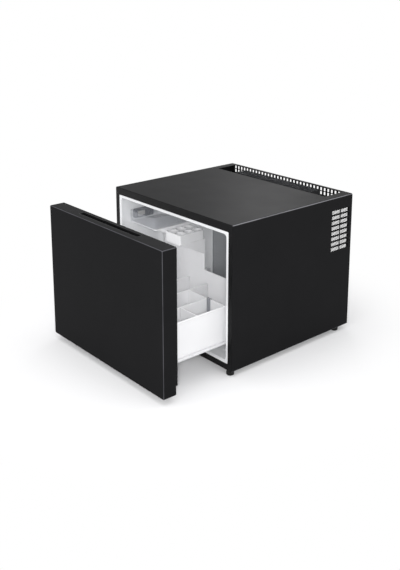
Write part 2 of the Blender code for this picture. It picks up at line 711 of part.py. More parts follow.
def make_cooler_stack(cabinet):
    """Cold block, thermoelectric module and hot block, clamped in line through the foam."""
    half = COLD_BLOCK_SIZE / 2
    cold = add_piece("cold_block", block((-half, COLD_BLOCK_FRONT, COOLER_HEIGHT - half),
                                         (half, COLD_BLOCK_BACK, COOLER_HEIGHT + half)),
                     "aluminium", cabinet)
    half = MODULE_SIZE / 2
    add_piece("thermoelectric_module", block((-half, MODULE_FRONT, COOLER_HEIGHT - half),
                                             (half, MODULE_BACK, COOLER_HEIGHT + half)),
              "ceramic", cabinet)
    across = HOT_BLOCK_WIDTH / 2
    half = HOT_BLOCK_HEIGHT / 2
    hot = add_piece("hot_block", block((-across, HOT_BLOCK_FRONT, COOLER_HEIGHT - half),
                                       (across, HOT_BLOCK_BACK, COOLER_HEIGHT + half)),
                    "aluminium", cabinet)
    bolt_x = BOLT_SPACING / 2
    depth = COLD_BLOCK_BACK - 4 * BOLT_DIAMETER
    for target in (cold, hot):
        holes = [cylinder(BOLT_DIAMETER / 2 + FIT, depth - FIT, HOT_BLOCK_BACK + FIT, "Y",
                          (x, COOLER_HEIGHT), 12) for x in (-bolt_x, bolt_x)]
        combine(target, merge_shapes(*holes), "DIFFERENCE")
    shank = BOLT_DIAMETER / 2
    head = BOLT_DIAMETER
    profile = [(0, depth), (shank, depth), (shank, HOT_BLOCK_BACK + FIT), (head, HOT_BLOCK_BACK + FIT),
               (head, HOT_BLOCK_BACK + 0.8 * head), (head * 0.8, HOT_BLOCK_BACK + head),
               (0, HOT_BLOCK_BACK + head)]
    for name, x in (("clamp_bolt_left", -bolt_x), ("clamp_bolt_right", bolt_x)):
        add_piece(name, turned(profile, 12, "Y"), "zinc_steel", cabinet, (x, 0, COOLER_HEIGHT),
                  smooth_angle=40)


def bent_route(corners, radius, steps=4):
    """Points of a pipe that runs through corners with an arc at each bend."""
    corners = [Vector(corner) for corner in corners]
    points = [corners[0]]
    for before, corner, after in zip(corners, corners[1:], corners[2:]):
        inward = (before - corner).normalized()
        outward = (after - corner).normalized()
        half_turn = (math.pi - inward.angle(outward)) / 2
        reach = radius * math.tan(half_turn)
        start = corner + inward * reach
        centre = corner + (inward + outward).normalized() * (radius / math.cos(half_turn))
        axis = (start - centre).cross(corner + outward * reach - centre)
        for step in range(steps + 1):
            turn = Matrix.Rotation(2 * half_turn * step / steps, 3, axis)
            points.append(centre + turn @ (start - centre))
    points.append(corners[-1])
    return points


def tube_shape(points, radius, sides=8):
    """A round bar along a route, its rings kept square to the route and untwisted."""
    rings = []
    reference = None
    for index, point in enumerate(points):
        before = points[max(index - 1, 0)]
        after = points[min(index + 1, len(points) - 1)]
        along = (after - before).normalized()
        if reference is None:
            seed = Vector((0, 1, 0)) if abs(along.y) < 0.9 else Vector((1, 0, 0))
            reference = along.cross(seed).normalized()
        reference = (reference - along * reference.dot(along)).normalized()
        other = along.cross(reference)
        ring = []
        for side in range(sides):
            angle = math.tau * (side + 0.5) / sides
            ring.append(point + radius * (math.cos(angle) * reference + math.sin(angle) * other))
        rings.append(ring)
    return loft(rings)


def make_condenser(cabinet):
    """Finned condenser: one U-shaped tube through a row of upright fins."""
    spread = TUBE_SPACING / 2
    front = FIN_MIDDLE_Y - spread
    rear = FIN_MIDDLE_Y + spread
    left = CONDENSER_OFFSET_X - FIN_LENGTH / 2 - TUBE_OVERHANG - spread
    route = bent_route([(TUBE_END_X, front, TUBE_Z), (left, front, TUBE_Z), (left, rear, TUBE_Z),
                        (TUBE_END_X, rear, TUBE_Z)], spread * 0.98)
    condenser = add_piece("condenser", tube_shape(route, TUBE_RADIUS, 6), "black_steel", cabinet)
    fins = bmesh.new()
    for index in range(FIN_COUNT):
        x = CONDENSER_OFFSET_X + (index - (FIN_COUNT - 1) / 2) * FIN_PITCH
        add_block(fins, (x - FIN_THICKNESS / 2, FIN_FRONT, FIN_TOP - FIN_HEIGHT),
                  (x + FIN_THICKNESS / 2, FIN_FRONT + FIN_DEPTH, FIN_TOP))
    combine(condenser, fins, "UNION")


def make_refrigerant_pipes(cabinet):
    """Vapour riser and condensate return between the hot block and the condenser."""
    spread = TUBE_SPACING / 2
    front = FIN_MIDDLE_Y - spread
    rear = FIN_MIDDLE_Y + spread
    top = COOLER_HEIGHT + HOT_BLOCK_HEIGHT / 2 + FIT
    bottom = COOLER_HEIGHT - HOT_BLOCK_HEIGHT / 2 - FIT
    near = TUBE_END_X + FIT
    riser_x = HOT_BLOCK_WIDTH / 4
    inner = near + 2 * PIPE_BEND
    outer = inner + 2 * TUBE_DIAMETER
    level = (top + FIN_TOP - FIN_HEIGHT) / 2
    vapour = [(riser_x, HOT_BLOCK_Y, top), (riser_x, HOT_BLOCK_Y, level), (riser_x + 4 * PIPE_BEND,
              front, level), (outer, front, level), (outer, front, TUBE_Z), (near, front, TUBE_Z)]
    back = [(near, rear, TUBE_Z), (inner, rear, TUBE_Z), (inner, rear, bottom - 3 * PIPE_BEND),
            (0, rear, bottom - 3 * PIPE_BEND), (0, HOT_BLOCK_Y, bottom - 3 * PIPE_BEND),
            (0, HOT_BLOCK_Y, bottom)]
    radius = TUBE_RADIUS * 0.8
    add_piece("vapour_pipe", tube_shape(bent_route(vapour, PIPE_BEND), radius), "copper", cabinet,
              smooth_angle=50)
    add_piece("return_pipe", tube_shape(bent_route(back, PIPE_BEND), radius), "copper", cabinet,
              smooth_angle=50)


def make_rear_cover(cabinet):
    """Punched steel cover: a fine mesh along the top, long louvre slots below it."""
    bottom = PAN_TOP + FIT
    sheet = COVER_SHEET
    back = CABINET_DEPTH
    inner = (INSIDE_HALF - sheet, bottom + sheet, INSIDE_TOP - sheet, INSIDE_BEND - sheet)
    outer = (INSIDE_HALF, bottom, INSIDE_TOP, INSIDE_BEND)
    rings = [centred_ring(*inner, back - sheet), centred_ring(*inner, back - COVER_FLANGE),
             centred_ring(*outer, back - COVER_FLANGE), centred_ring(*outer, back)]
    cover = add_piece("rear_cover", loft(rings), "black_steel", cabinet)
    slots = bmesh.new()
    y0 = back - 2 * sheet
    y1 = back + sheet
    room = 2 * (INSIDE_HALF - COVER_FLANGE)
    columns = int(room / MESH_PITCH_X)
    first = INSIDE_TOP - sheet - (MESH_PITCH_Z - MESH_SLOT_HEIGHT)
    for row in range(MESH_ROWS):
        top = first - row * MESH_PITCH_Z
        for column in range(columns):
            x = (column - (columns - 1) / 2) * MESH_PITCH_X
            add_block(slots, (x - MESH_SLOT_WIDTH / 2, y0, top - MESH_SLOT_HEIGHT),
                      (x + MESH_SLOT_WIDTH / 2, y1, top))
    width = room / LOUVRE_COLUMNS - MESH_PITCH_X
    start = first - MESH_ROWS * MESH_PITCH_Z - MESH_SLOT_HEIGHT / 2
    for row in range(LOUVRE_ROWS):
        top = start - row * LOUVRE_PITCH
        for column in range(LOUVRE_COLUMNS):
            x = (column - (LOUVRE_COLUMNS - 1) / 2) * (room / LOUVRE_COLUMNS)
            add_block(slots, (x - width / 2, y0, top - LOUVRE_HEIGHT), (x + width / 2, y1, top))
    inlet = supply_inlet_box(2 * FIT)
    add_block(slots, (inlet[0][0], y0, inlet[0][2]), (inlet[1][0], y1, inlet[1][2]))
    combine(cover, slots, "DIFFERENCE")


def supply_inlet_box(grow):
    """Corners of the mains inlet's body, grown by a clearance."""
    z = PAN_TOP + FIT + SUPPLY_HEIGHT / 2
    back = CABINET_DEPTH
    half_x = INLET_WIDTH / 2 + grow
    half_z = INLET_HEIGHT / 2 + grow
    return ((SUPPLY_CENTRE_X - half_x, back - INLET_DEPTH, z - half_z),
            (SUPPLY_CENTRE_X + half_x, back, z + half_z))


def make_power_supply(cabinet):
    """Power supply box on the floor of the machine compartment, with its mains inlet."""
    low_z = PAN_TOP + FIT
    rear = CABINET_DEPTH - INLET_DEPTH - FIT
    corner = 3 * MM
    low = (SUPPLY_CENTRE_X - SUPPLY_WIDTH / 2, rear - SUPPLY_DEPTH)
    high = (SUPPLY_CENTRE_X + SUPPLY_WIDTH / 2, rear)
    rings = [rounded_ring(low, high, corner, low_z, "Z"),
             rounded_ring(low, high, corner, low_z + SUPPLY_HEIGHT - corner, "Z"),
             rounded_ring((low[0] + corner, low[1] + corner), (high[0] - corner, high[1] - corner),
                          corner, low_z + SUPPLY_HEIGHT, "Z")]
    add_piece("power_supply", loft(rings), "grey_plastic", cabinet, smooth_angle=40)
    low, high = supply_inlet_box(0)
    wall = 2 * MM
    inner = ((low[0] + wall, low[2] + wall), (high[0] - wall, high[2] - wall))
    outer = ((low[0], low[2]), (high[0], high[2]))
    rings = [rounded_ring(*inner, wall, low[1] + wall, "Y"), rounded_ring(*inner, wall, high[1], "Y"),
             rounded_ring(*outer, 2 * wall, high[1], "Y"), rounded_ring(*outer, 2 * wall, low[1], "Y")]
    inlet = add_piece("mains_inlet", loft(rings), "black_plastic", cabinet)
    middle_z = (low[2] + high[2]) / 2
    blade = (1 * MM, 2 * MM)
    pins = bmesh.new()
    for x, z in ((-7 * MM, -2 * MM), (0, 3 * MM), (7 * MM, -2 * MM)):
        x += SUPPLY_CENTRE_X
        z += middle_z
        add_block(pins, (x - blade[0], low[1] + wall / 2, z - blade[1]),
                  (x + blade[0], high[1] - wall, z + blade[1]))
    combine(inlet, pins, "UNION")


# Control housing

def make_control(cabinet):
    """Thermostat and lamp housing on the left wall, its knob, lens and board."""
    wall_x = -CAVITY_HALF + FIT
    face_x = -CAVITY_HALF + CONTROL_PROTRUSION
    low = (CONTROL_FRONT, CONTROL_BOTTOM)
    high = (CONTROL_FRONT + CONTROL_LENGTH, CONTROL_BOTTOM + CONTROL_HEIGHT)
    wall = CONTROL_WALL
    edge = 2 * MM
    corner = 5 * MM
    inner_low = (low[0] + wall, low[1] + wall)
    inner_high = (high[0] - wall, high[1] - wall)
    rings = [
        rounded_ring(inner_low, inner_high, corner - wall, face_x - wall, "X"),
        rounded_ring(inner_low, inner_high, corner - wall, wall_x, "X"),
        rounded_ring(low, high, corner, wall_x, "X"),
        rounded_ring(low, high, corner, face_x - edge, "X"),
        rounded_ring((low[0] + edge, low[1] + edge), (high[0] - edge, high[1] - edge), corner - edge,
                     face_x, "X"),
    ]
    housing = add_piece("control_housing", loft(rings), "grey_plastic", cabinet, smooth_angle=40)
    knob_y = high[0] - CONTROL_HEIGHT / 2
    middle_z = CONTROL_BOTTOM + CONTROL_HEIGHT / 2
    lens_y = low[0] + CONTROL_HEIGHT / 3
    shaft = KNOB_SHAFT_DIAMETER / 2
    window = block((face_x - 2 * wall, lens_y - FIT, middle_z - LENS_HEIGHT / 2 - FIT),
                   (face_x + wall, lens_y + LENS_LENGTH + FIT, middle_z + LENS_HEIGHT / 2 + FIT))
    bore = cylinder(shaft + FIT, face_x - 2 * wall, face_x + wall, "X", (knob_y, middle_z))
    combine(housing, merge_shapes(window, bore), "DIFFERENCE")
    lens_low = (lens_y, middle_z - LENS_HEIGHT / 2)
    lens_high = (lens_y + LENS_LENGTH, middle_z + LENS_HEIGHT / 2)
    soft = 1.5 * MM
    rings = [rounded_ring(lens_low, lens_high, soft, face_x - LENS_THICKNESS, "X"),
             rounded_ring(lens_low, lens_high, soft, face_x - LENS_THICKNESS / 3, "X"),
             rounded_ring((lens_low[0] + soft / 2, lens_low[1] + soft / 2),
                          (lens_high[0] - soft / 2, lens_high[1] - soft / 2), soft / 2, face_x, "X")]
    add_piece("lamp_lens", loft(rings), "lens", cabinet, smooth_angle=50)
    board_x = face_x - max(wall, LENS_THICKNESS) - FIT
    board = add_piece("lamp_board", block(
        (board_x - BOARD_THICKNESS, inner_low[0] + wall, inner_low[1] + wall),
        (board_x, lens_high[0] + wall, inner_high[1] - wall)), "circuit_board", cabinet)
    chip = LENS_HEIGHT / 6
    lamp = block((board_x - BOARD_THICKNESS / 2, lens_y + LENS_LENGTH / 2 - chip, middle_z - chip),
                 (board_x + FIT / 2, lens_y + LENS_LENGTH / 2 + chip, middle_z + chip))
    combine(board, lamp, "UNION")
    radius = KNOB_DIAMETER / 2
    base = FIT
    profile = [(0, base - 3 * wall), (shaft, base - 3 * wall), (shaft, base), (radius, base),
               (radius, base + KNOB_HEIGHT * 0.35), (radius * 0.9, base + KNOB_HEIGHT * 0.5),
               (radius * 0.82, base + KNOB_HEIGHT), (0, base + KNOB_HEIGHT)]
    knob = add_piece("thermostat_knob", turned(profile, 24, "X"), "grey_plastic", cabinet,
                     (face_x, knob_y, middle_z), smooth_angle=35)
    groove = block((base + KNOB_HEIGHT * 0.7, -radius * 0.08, radius * 0.15),
                   (base + KNOB_HEIGHT * 1.3, radius * 0.08, radius * 1.1))
    combine(knob, groove, "DIFFERENCE")


# Runners

def roller_shape(side):
    """Turned plastic roller with a crowned tread, its bore on the origin."""
    half = ROLLER_WIDTH / 2
    bore = AXLE_RADIUS + FIT
    crown = ROLLER_RADIUS * 0.06
    hub = ROLLER_RADIUS * 0.5
    dish = ROLLER_WIDTH * 0.12
    profile = [(bore, -half), (hub, -half), (hub + dish, -half + dish), (ROLLER_RADIUS * 0.8, -half + dish),
               (ROLLER_RADIUS - crown, -half), (ROLLER_RADIUS, -half + crown * 2),
               (ROLLER_RADIUS, half - crown * 2), (ROLLER_RADIUS - crown, half), (bore, half)]
    return turned([(radius, side * level) for radius, level in profile], 16, "X")


def axle_shape(seat, head_side, side):
    """Rivet through a roller: its tail in the sheet that carries it, its head past the roller."""
    sheet = RUNNER_SHEET
    span = RUNNING_GAP + ROLLER_WIDTH + RUNNING_GAP
    tail = seat - head_side * sheet
    shoulder = seat + head_side * span
    tip = shoulder + head_side * AXLE_HEAD
    head = AXLE_HEAD_DIAMETER / 2
    profile = [(0, tail), (AXLE_RADIUS, tail), (AXLE_RADIUS, shoulder), (head, shoulder),
               (head, tip - head_side * AXLE_HEAD / 3), (head * 0.7, tip), (0, tip)]
    return turned([(radius, side * level) for radius, level in profile], 12, "X")


def make_runners(cabinet, drawer):
    """Cabinet channels with front rollers, drawer profiles with rear rollers, left and right."""
    for side, name in ((-1, "left"), (1, "right")):
        make_channel(cabinet, side, name)
        make_profile(drawer, side, name)
        roller_x = side * (WEB_INNER - RUNNING_GAP - ROLLER_WIDTH / 2)
        place_front = (roller_x, FRONT_ROLLER_Y, FRONT_ROLLER_Z)
        add_piece("front_roller_" + name, roller_shape(side), "black_plastic", cabinet, place_front,
                  smooth_angle=35)
        seat = WEB_INNER - abs(roller_x)
        add_piece("front_axle_" + name, axle_shape(seat, -1, side), "zinc_steel", cabinet, place_front,
                  smooth_angle=35)
        roller_x = side * (PROFILE_OUTER + RUNNING_GAP + ROLLER_WIDTH / 2)
        place_rear = (roller_x, REAR_ROLLER_Y, REAR_ROLLER_Z)
        add_piece("rear_roller_" + name, roller_shape(side), "black_plastic", drawer, place_rear,
                  smooth_angle=35)
        seat = PROFILE_OUTER - abs(roller_x)
        add_piece("rear_axle_" + name, axle_shape(seat, 1, side), "zinc_steel", drawer, place_rear,
                  smooth_angle=35)


def make_channel(cabinet, side, name):
    """Folded C channel on the cavity wall, its top lip cut away over the front roller."""
    sheet = RUNNER_SHEET
    outline = [(WEB_OUTER, CHANNEL_BOTTOM), (WEB_OUTER, CHANNEL_TOP), (CHANNEL_LIP, CHANNEL_TOP),
               (CHANNEL_LIP, CHANNEL_INNER_TOP), (WEB_INNER, CHANNEL_INNER_TOP),
               (WEB_INNER, CHANNEL_INNER_BOTTOM), (CHANNEL_LIP, CHANNEL_INNER_BOTTOM),
               (CHANNEL_LIP, CHANNEL_BOTTOM)]
    channel = add_piece("runner_channel_" + name,
                        prism(mirrored(outline, side), RUNNER_FRONT, CHANNEL_REAR, "Y"), "white_steel",
                        cabinet)
    cut_rear = FRONT_ROLLER_Y + ROLLER_RADIUS + 2 * RUNNING_GAP
    lip = side_block((CHANNEL_LIP - sheet, RUNNER_FRONT - sheet, CHANNEL_INNER_TOP - sheet / 2),
                     (WEB_INNER, cut_rear, CHANNEL_TOP + sheet), side)
    x0, x1 = spans(WEB_INNER - sheet, WEB_OUTER + sheet, side)
    hole = cylinder(AXLE_RADIUS + FIT, x0, x1, "X", (FRONT_ROLLER_Y, FRONT_ROLLER_Z), 12)
    combine(channel, merge_shapes(lip, hole), "DIFFERENCE")


def make_profile(drawer, side, name):
    """Drawer profile: a seat under the basket, a wall beside it and a running flange outside."""
    outline = [(PROFILE_OUTER - RUNNER_SEAT - RUNNER_SHEET, SEAT_BOTTOM), (PROFILE_OUTER, SEAT_BOTTOM),
               (PROFILE_OUTER, TRACK_UNDERSIDE), (TRACK_OUTER, TRACK_UNDERSIDE),
               (TRACK_OUTER, TRACK_TOP), (PROFILE_INNER, TRACK_TOP), (PROFILE_INNER, SEAT_TOP),
               (PROFILE_OUTER - RUNNER_SEAT - RUNNER_SHEET, SEAT_TOP)]
    start = BASKET_FRONT
    profile = add_piece("drawer_profile_" + name,
                        prism(mirrored(outline, side), start, BASKET_REAR, "Y"), "white_steel", drawer)
    tab = side_block((PROFILE_OUTER - RUNNER_SEAT - RUNNER_SHEET, start, SEAT_BOTTOM - PROFILE_TAB),
                     (PROFILE_OUTER, start + RUNNER_SHEET, SEAT_TOP), side)
    ear_radius = AXLE_HEAD_DIAMETER / 2 + 2 * RUNNING_GAP
    x0, x1 = spans(PROFILE_INNER, PROFILE_OUTER, side)
    ear = arc_points((REAR_ROLLER_Y, REAR_ROLLER_Z), ear_radius, 180, 360, 8)
    ear = [(ear[0][0], TRACK_UNDERSIDE)] + ear + [(ear[-1][0], TRACK_UNDERSIDE)]
    combine(profile, tab, "UNION")
    combine(profile, prism(ear, x0, x1, "X"), "UNION")
    x0, x1 = spans(PROFILE_INNER - RUNNER_SHEET, PROFILE_OUTER + RUNNER_SHEET, side)
    hole = cylinder(AXLE_RADIUS + FIT, x0, x1, "X", (REAR_ROLLER_Y, REAR_ROLLER_Z), 12)
    profile.modifiers[-1].name = "ear"
    combine(profile, hole, "DIFFERENCE")


# Drawer front

def slab_ring(inset, radius, y):
    """Ring round the drawer front's outline, drawn in by an inset."""
    return centred_ring(HALF_WIDTH - inset, FRONT_GROUND_GAP + inset, FRONT_TOP - inset, radius, y)


def grip_levels():
    """Front and rear edges of the finger recess, in the drawer's frame."""
    front = -FRONT_THICKNESS + GRIP_FRONT_LIP
    return front, front + GRIP_LENGTH


def make_front_shell(drawer):
    """Outer shell of the drawer front: rounded front edges and a rim that shrouds the gasket."""
    radius = FRONT_EDGE_RADIUS
    wall = FRONT_WALL
    front = -FRONT_THICKNESS
    inner_radius = max(radius - wall, 0.5 * MM)
    rings = [
        slab_ring(wall, inner_radius, front + wall),
        slab_ring(wall, inner_radius, 0),
        slab_ring(0, radius, 0),
        slab_ring(0, radius, front + radius),
        slab_ring(radius * 0.29, radius, front + radius * 0.29),
        slab_ring(radius, radius, front),
    ]
    shell = add_piece("drawer_front_shell", loft(rings), "black_steel", drawer, smooth_angle=32)
    notch = block((-HALF_WIDTH - wall, PANEL_REAR + FIT, FRONT_GROUND_GAP - wall),
                  (HALF_WIDTH + wall, wall, FRONT_GROUND_GAP + RIM_BOTTOM_NOTCH))
    y0, y1 = grip_levels()
    mouth = block((-GRIP_WIDTH / 2, y0, FRONT_TOP - 2 * wall), (GRIP_WIDTH / 2, y1, FRONT_TOP + wall))
    combine(shell, merge_shapes(notch, mouth), "DIFFERENCE")


def grip_ring(grow, level, slope):
    """Ring of the finger recess: its front wall leans forward with depth, for the fingertips."""
    y0, y1 = grip_levels()
    half = GRIP_WIDTH / 2 - FIT - GRIP_WALL
    low = (-half - grow, y0 + FIT + GRIP_WALL - grow + slope)
    high = (half + grow, y1 - FIT - GRIP_WALL + grow)
    return rounded_ring(low, high, 1.0 * MM + grow, level, "Z", 2)


def make_grip_cup(drawer):
    """Moulded cup that lines the finger recess in the top of the drawer front."""
    floor = FRONT_TOP - GRIP_DEPTH
    draft = 1.5 * MM
    rings = [grip_ring(0, floor + GRIP_WALL, draft), grip_ring(0, FRONT_TOP, 0),
             grip_ring(GRIP_WALL, FRONT_TOP, 0), grip_ring(GRIP_WALL, floor, draft)]
    add_piece("grip_cup", loft(rings), "black_plastic", drawer)


def make_inner_panel(drawer):
    """Formed panel behind the drawer front, with a shallow plug that fills the mouth of the cavity."""
    wall = PANEL_WALL
    front = PANEL_REAR - wall
    plug = (PLUG_HALF, PLUG_BOTTOM, PLUG_TOP)
    lean = 3 * MM
    radius = CAVITY_CORNER

    def plug_ring(grow, y):
        return centred_ring(plug[0] + grow, plug[1] - grow, plug[2] + grow, radius + grow, y)

    rings = [
        plug_ring(-lean, PLUG_REAR),
        plug_ring(0, PANEL_REAR),
        centred_ring(SHELL_INNER_HALF, SHELL_INNER_BOTTOM, SHELL_INNER_TOP, 2 * MM, PANEL_REAR),
        centred_ring(SHELL_INNER_HALF, SHELL_INNER_BOTTOM, SHELL_INNER_TOP, 2 * MM, front),
        plug_ring(-wall, front),
        plug_ring(-lean - wall, PLUG_REAR - wall),
    ]
    add_piece("drawer_inner_panel", loft(rings), "white_plastic", drawer, smooth_angle=40)


def make_front_foam(drawer):
    """Insulation inside the drawer front, relieved round the finger recess."""
    front = -FRONT_THICKNESS + FRONT_WALL + FIT
    rear = PANEL_REAR - PANEL_WALL - FIT
    inset = FRONT_WALL + FIT
    lean = 3 * MM
    wall = PANEL_WALL + FIT
    rings = [
        centred_ring(PLUG_HALF - lean - wall, PLUG_BOTTOM + lean + wall, PLUG_TOP - lean - wall,
                     CAVITY_CORNER, PLUG_REAR - wall),
        centred_ring(PLUG_HALF - 2 * wall, PLUG_BOTTOM + 2 * wall, PLUG_TOP - 2 * wall,
                     CAVITY_CORNER, rear),
        slab_ring(inset, 2 * MM, rear),
        slab_ring(inset, 2 * MM, front),
    ]
    foam = add_piece("drawer_front_foam", loft(rings), "foam", drawer)
    y0, y1 = grip_levels()
    pocket = block((-GRIP_WIDTH / 2, y0, FRONT_TOP - GRIP_DEPTH - FIT),
                   (GRIP_WIDTH / 2, y1, FRONT_TOP + FIT))
    combine(foam, pocket, "DIFFERENCE")


def make_gasket(drawer):
    """Magnetic gasket in the shroud of the drawer front, a dart foot and a soft bulb."""
    half = HALF_WIDTH - GASKET_SIDE_INSET
    bottom = FRONT_GROUND_GAP + GASKET_BOTTOM_INSET
    top = FRONT_TOP - GASKET_TOP_INSET
    width = GASKET_WIDTH
    foot = PANEL_REAR + FIT
    tip = GASKET_PROUD
    waist = width * 0.2
    middle = (foot + tip) / 2

    def ring(inset, y):
        radius = max(CAVITY_CORNER - inset, 1 * MM)
        return centred_ring(half - inset, bottom + inset, top - inset, radius, y)

    rings = [ring(waist, foot), ring(waist, middle - 1 * MM), ring(0, middle), ring(0, tip - 1 * MM),
             ring(waist, tip), ring(width - waist, tip), ring(width, tip - 1 * MM), ring(width, middle),
             ring(width - waist, middle - 1 * MM), ring(width - waist, foot)]
    add_piece("drawer_gasket", loft(rings, closed=True), "rubber", drawer, smooth_angle=40)


# Basket, dividers and rack

def basket_ring(inset, level, front_inset=None):
    """Ring round the basket at one height, drawn in by an inset, with the sides' draft."""
    low = inset if front_inset is None else front_inset
    draft = BASKET_DRAFT * (BASKET_TOP - level) / BASKET_HEIGHT
    half = BASKET_HALF - inset - draft
    radius = max(BASKET_CORNER - inset, 1.5 * MM)
    return rounded_ring((-half, BASKET_FRONT + low), (half, BASKET_REAR - inset), radius, level, "Z")


def make_basket(drawer):
    """Moulded basket: drafted walls, a rolled rim and a filleted floor."""
    wall = BASKET_WALL
    fillet = 4 * MM
    bead = RIM_BEAD
    bead_low = BASKET_TOP - RIM_BEAD_HEIGHT
    rings = [
        basket_ring(fillet, BASKET_BOTTOM),
        basket_ring(fillet * 0.3, BASKET_BOTTOM + fillet * 0.3),
        basket_ring(0, BASKET_BOTTOM + fillet),
        basket_ring(0, bead_low - bead),
        basket_ring(-bead, bead_low, 0),
        basket_ring(-bead, BASKET_TOP - bead, 0),
        basket_ring(0, BASKET_TOP),
        basket_ring(wall, BASKET_TOP),
        basket_ring(wall, FLOOR_TOP + fillet),
        basket_ring(wall + fillet * 0.3, FLOOR_TOP + fillet * 0.3),
        basket_ring(wall + fillet, FLOOR_TOP),
    ]
    add_piece("basket", loft(rings), "white_plastic", drawer, smooth_angle=40)


def basket_inner_half(level):
    """Half the clear width inside the basket at one height."""
    return BASKET_HALF - BASKET_WALL - BASKET_DRAFT * (BASKET_TOP - level) / BASKET_HEIGHT


def make_dividers(drawer):
    """Lengthways dividers; the last one stops at the rear cross partition."""
    front = BASKET_FRONT + BASKET_WALL + FIT
    full = BASKET_REAR - BASKET_WALL - FIT
    low = FLOOR_TOP + FIT
    half = DIVIDER_THICKNESS / 2
    chamfer = DIVIDER_FOOT_CHAMFER
    for index, x in enumerate(DIVIDER_X):
        last = index == len(DIVIDER_X) - 1
        rear = REAR_PARTITION_Y - half - FIT if last else full
        heel = 0 if last else chamfer
        outline = [(front + chamfer, low), (rear - heel, low), (rear, low + heel), (rear, BASKET_TOP),
                   (front, BASKET_TOP), (front, low + chamfer)]
        outline = [point for i, point in enumerate(outline) if point != outline[i - 1]]
        divider = add_piece("divider_%d" % (index + 1), prism(outline, x - half, x + half, "X"),
                            "white_plastic", drawer)
        if index == len(DIVIDER_X) - 2:
            centre = (REAR_PARTITION_Y - 2 * SNAP_HOLE_DIAMETER, BASKET_TOP - BASKET_HEIGHT * 0.36)
            hole = cylinder(SNAP_HOLE_DIAMETER / 2, x - 2 * half, x + 2 * half, "X", centre, 10)
            combine(divider, hole, "DIFFERENCE")


def make_partitions(drawer):
    """Cross partitions between the dividers and the basket's right wall."""
    half = DIVIDER_THICKNESS / 2
    low = FLOOR_TOP + FIT
    chamfer = DIVIDER_FOOT_CHAMFER
    for name, start, y in (("rear_partition", DIVIDER_X[2], REAR_PARTITION_Y),
                           ("front_partition", DIVIDER_X[3], FRONT_PARTITION_Y)):
        left = start + half + FIT
        knee = low + chamfer
        outline = [(left, low), (basket_inner_half(knee) - FIT - chamfer, low),
                   (basket_inner_half(knee) - FIT, knee), (basket_inner_half(BASKET_TOP) - FIT, BASKET_TOP),
                   (left, BASKET_TOP)]
        add_piece(name, prism(outline, y - half, y + half, "Y"), "white_plastic", drawer)


def make_divider_clip(drawer):
    """Clip that hooks over the rear partition beside the last divider."""
    half = DIVIDER_THICKNESS / 2
    sheet = CLIP_SHEET
    front = REAR_PARTITION_Y - half - FIT
    rear = REAR_PARTITION_Y + half + FIT
    under = BASKET_TOP + FIT
    foot = BASKET_TOP - CLIP_LEG
    heel = BASKET_TOP - CLIP_LEG / 3
    outline = [(front - sheet, foot), (front, foot), (front, under), (rear, under), (rear, heel),
               (rear + sheet, heel), (rear + sheet, under + sheet * 0.4), (rear + sheet * 0.4, under + sheet),
               (front - sheet * 0.4, under + sheet), (front - sheet, under + sheet * 0.4)]
    left = DIVIDER_X[3] + half + FIT
    add_piece("divider_clip", prism(outline, left, left + CLIP_WIDTH, "X"), "grey_plastic", drawer)


def rack_edges():
    """Left edge of the rack, the step between tray and holder, and the rack's right edge."""
    left = -BASKET_HALF + RACK_LEFT_GAP
    step = left + TRAY_WIDTH
    return left, step, step + HOLDER_WIDTH


def rack_levels():
    """Front and rear faces of the rack's upright plate, in the drawer's frame."""
    rear = BASKET_REAR - BASKET_WALL - FIT
    return rear - RACK_SHEET, rear


def make_rack(drawer):
    """Upright rack hooked on the basket's rear rim, with a shelf for the tray and one for the holder."""
    left, step, right = rack_edges()
    front, rear = rack_levels()
    sheet = RACK_SHEET
    base = BASKET_TOP + FIT
    hook_front = BASKET_REAR + RIM_BEAD + FIT
    hook = [(front, base), (hook_front, base), (hook_front, base - RACK_HOOK_HEIGHT),
            (hook_front + sheet, base - RACK_HOOK_HEIGHT), (hook_front + sheet, base + sheet * 0.5),
            (hook_front + sheet * 0.5, base + sheet), (rear, base + sheet), (rear, TRAY_BOTTOM - FIT),
            (front, TRAY_BOTTOM - FIT)]
    rack = add_piece("rack", prism(hook, left, step - FIT, "X"), "white_plastic", drawer)
    overlap = 1 * MM
    low_hook = [(u, HOLDER_BOTTOM - FIT if v > HOLDER_BOTTOM else v) for u, v in hook]
    shelf = SHELF_SHEET
    reach = TRAY_LENGTH * 0.92
    tray_shelf = block((left, front - reach, TRAY_BOTTOM - FIT - shelf),
                       (step - FIT, front + overlap, TRAY_BOTTOM - FIT))
    holder_front = front - FIT - HOLDER_LENGTH
    holder_shelf = block((step - FIT - overlap, holder_front, HOLDER_BOTTOM - FIT - shelf),
                         (right, front + overlap, HOLDER_BOTTOM - FIT))
    combine(rack, prism(low_hook, step - FIT - overlap, right, "X"), "UNION")
    combine(rack, tray_shelf, "UNION")
    combine(rack, holder_shelf, "UNION")
    for index, (x, level, length) in enumerate((
            (left, TRAY_BOTTOM, reach), (step - FIT - GUSSET_THICKNESS, TRAY_BOTTOM, reach),
            (right - GUSSET_THICKNESS, HOLDER_BOTTOM, HOLDER_LENGTH))):
        top = level - FIT - shelf / 2
        drop = length * 0.5
        gusset = [(front + overlap, top), (front - length * 0.9, top), (front - length * 0.9, top - shelf),
                  (front + overlap, top - drop)]
        combine(rack, prism(gusset, x, x + GUSSET_THICKNESS, "X"), "UNION")
        rack.modifiers[-1].name = "gusset_%d" % (index + 1)


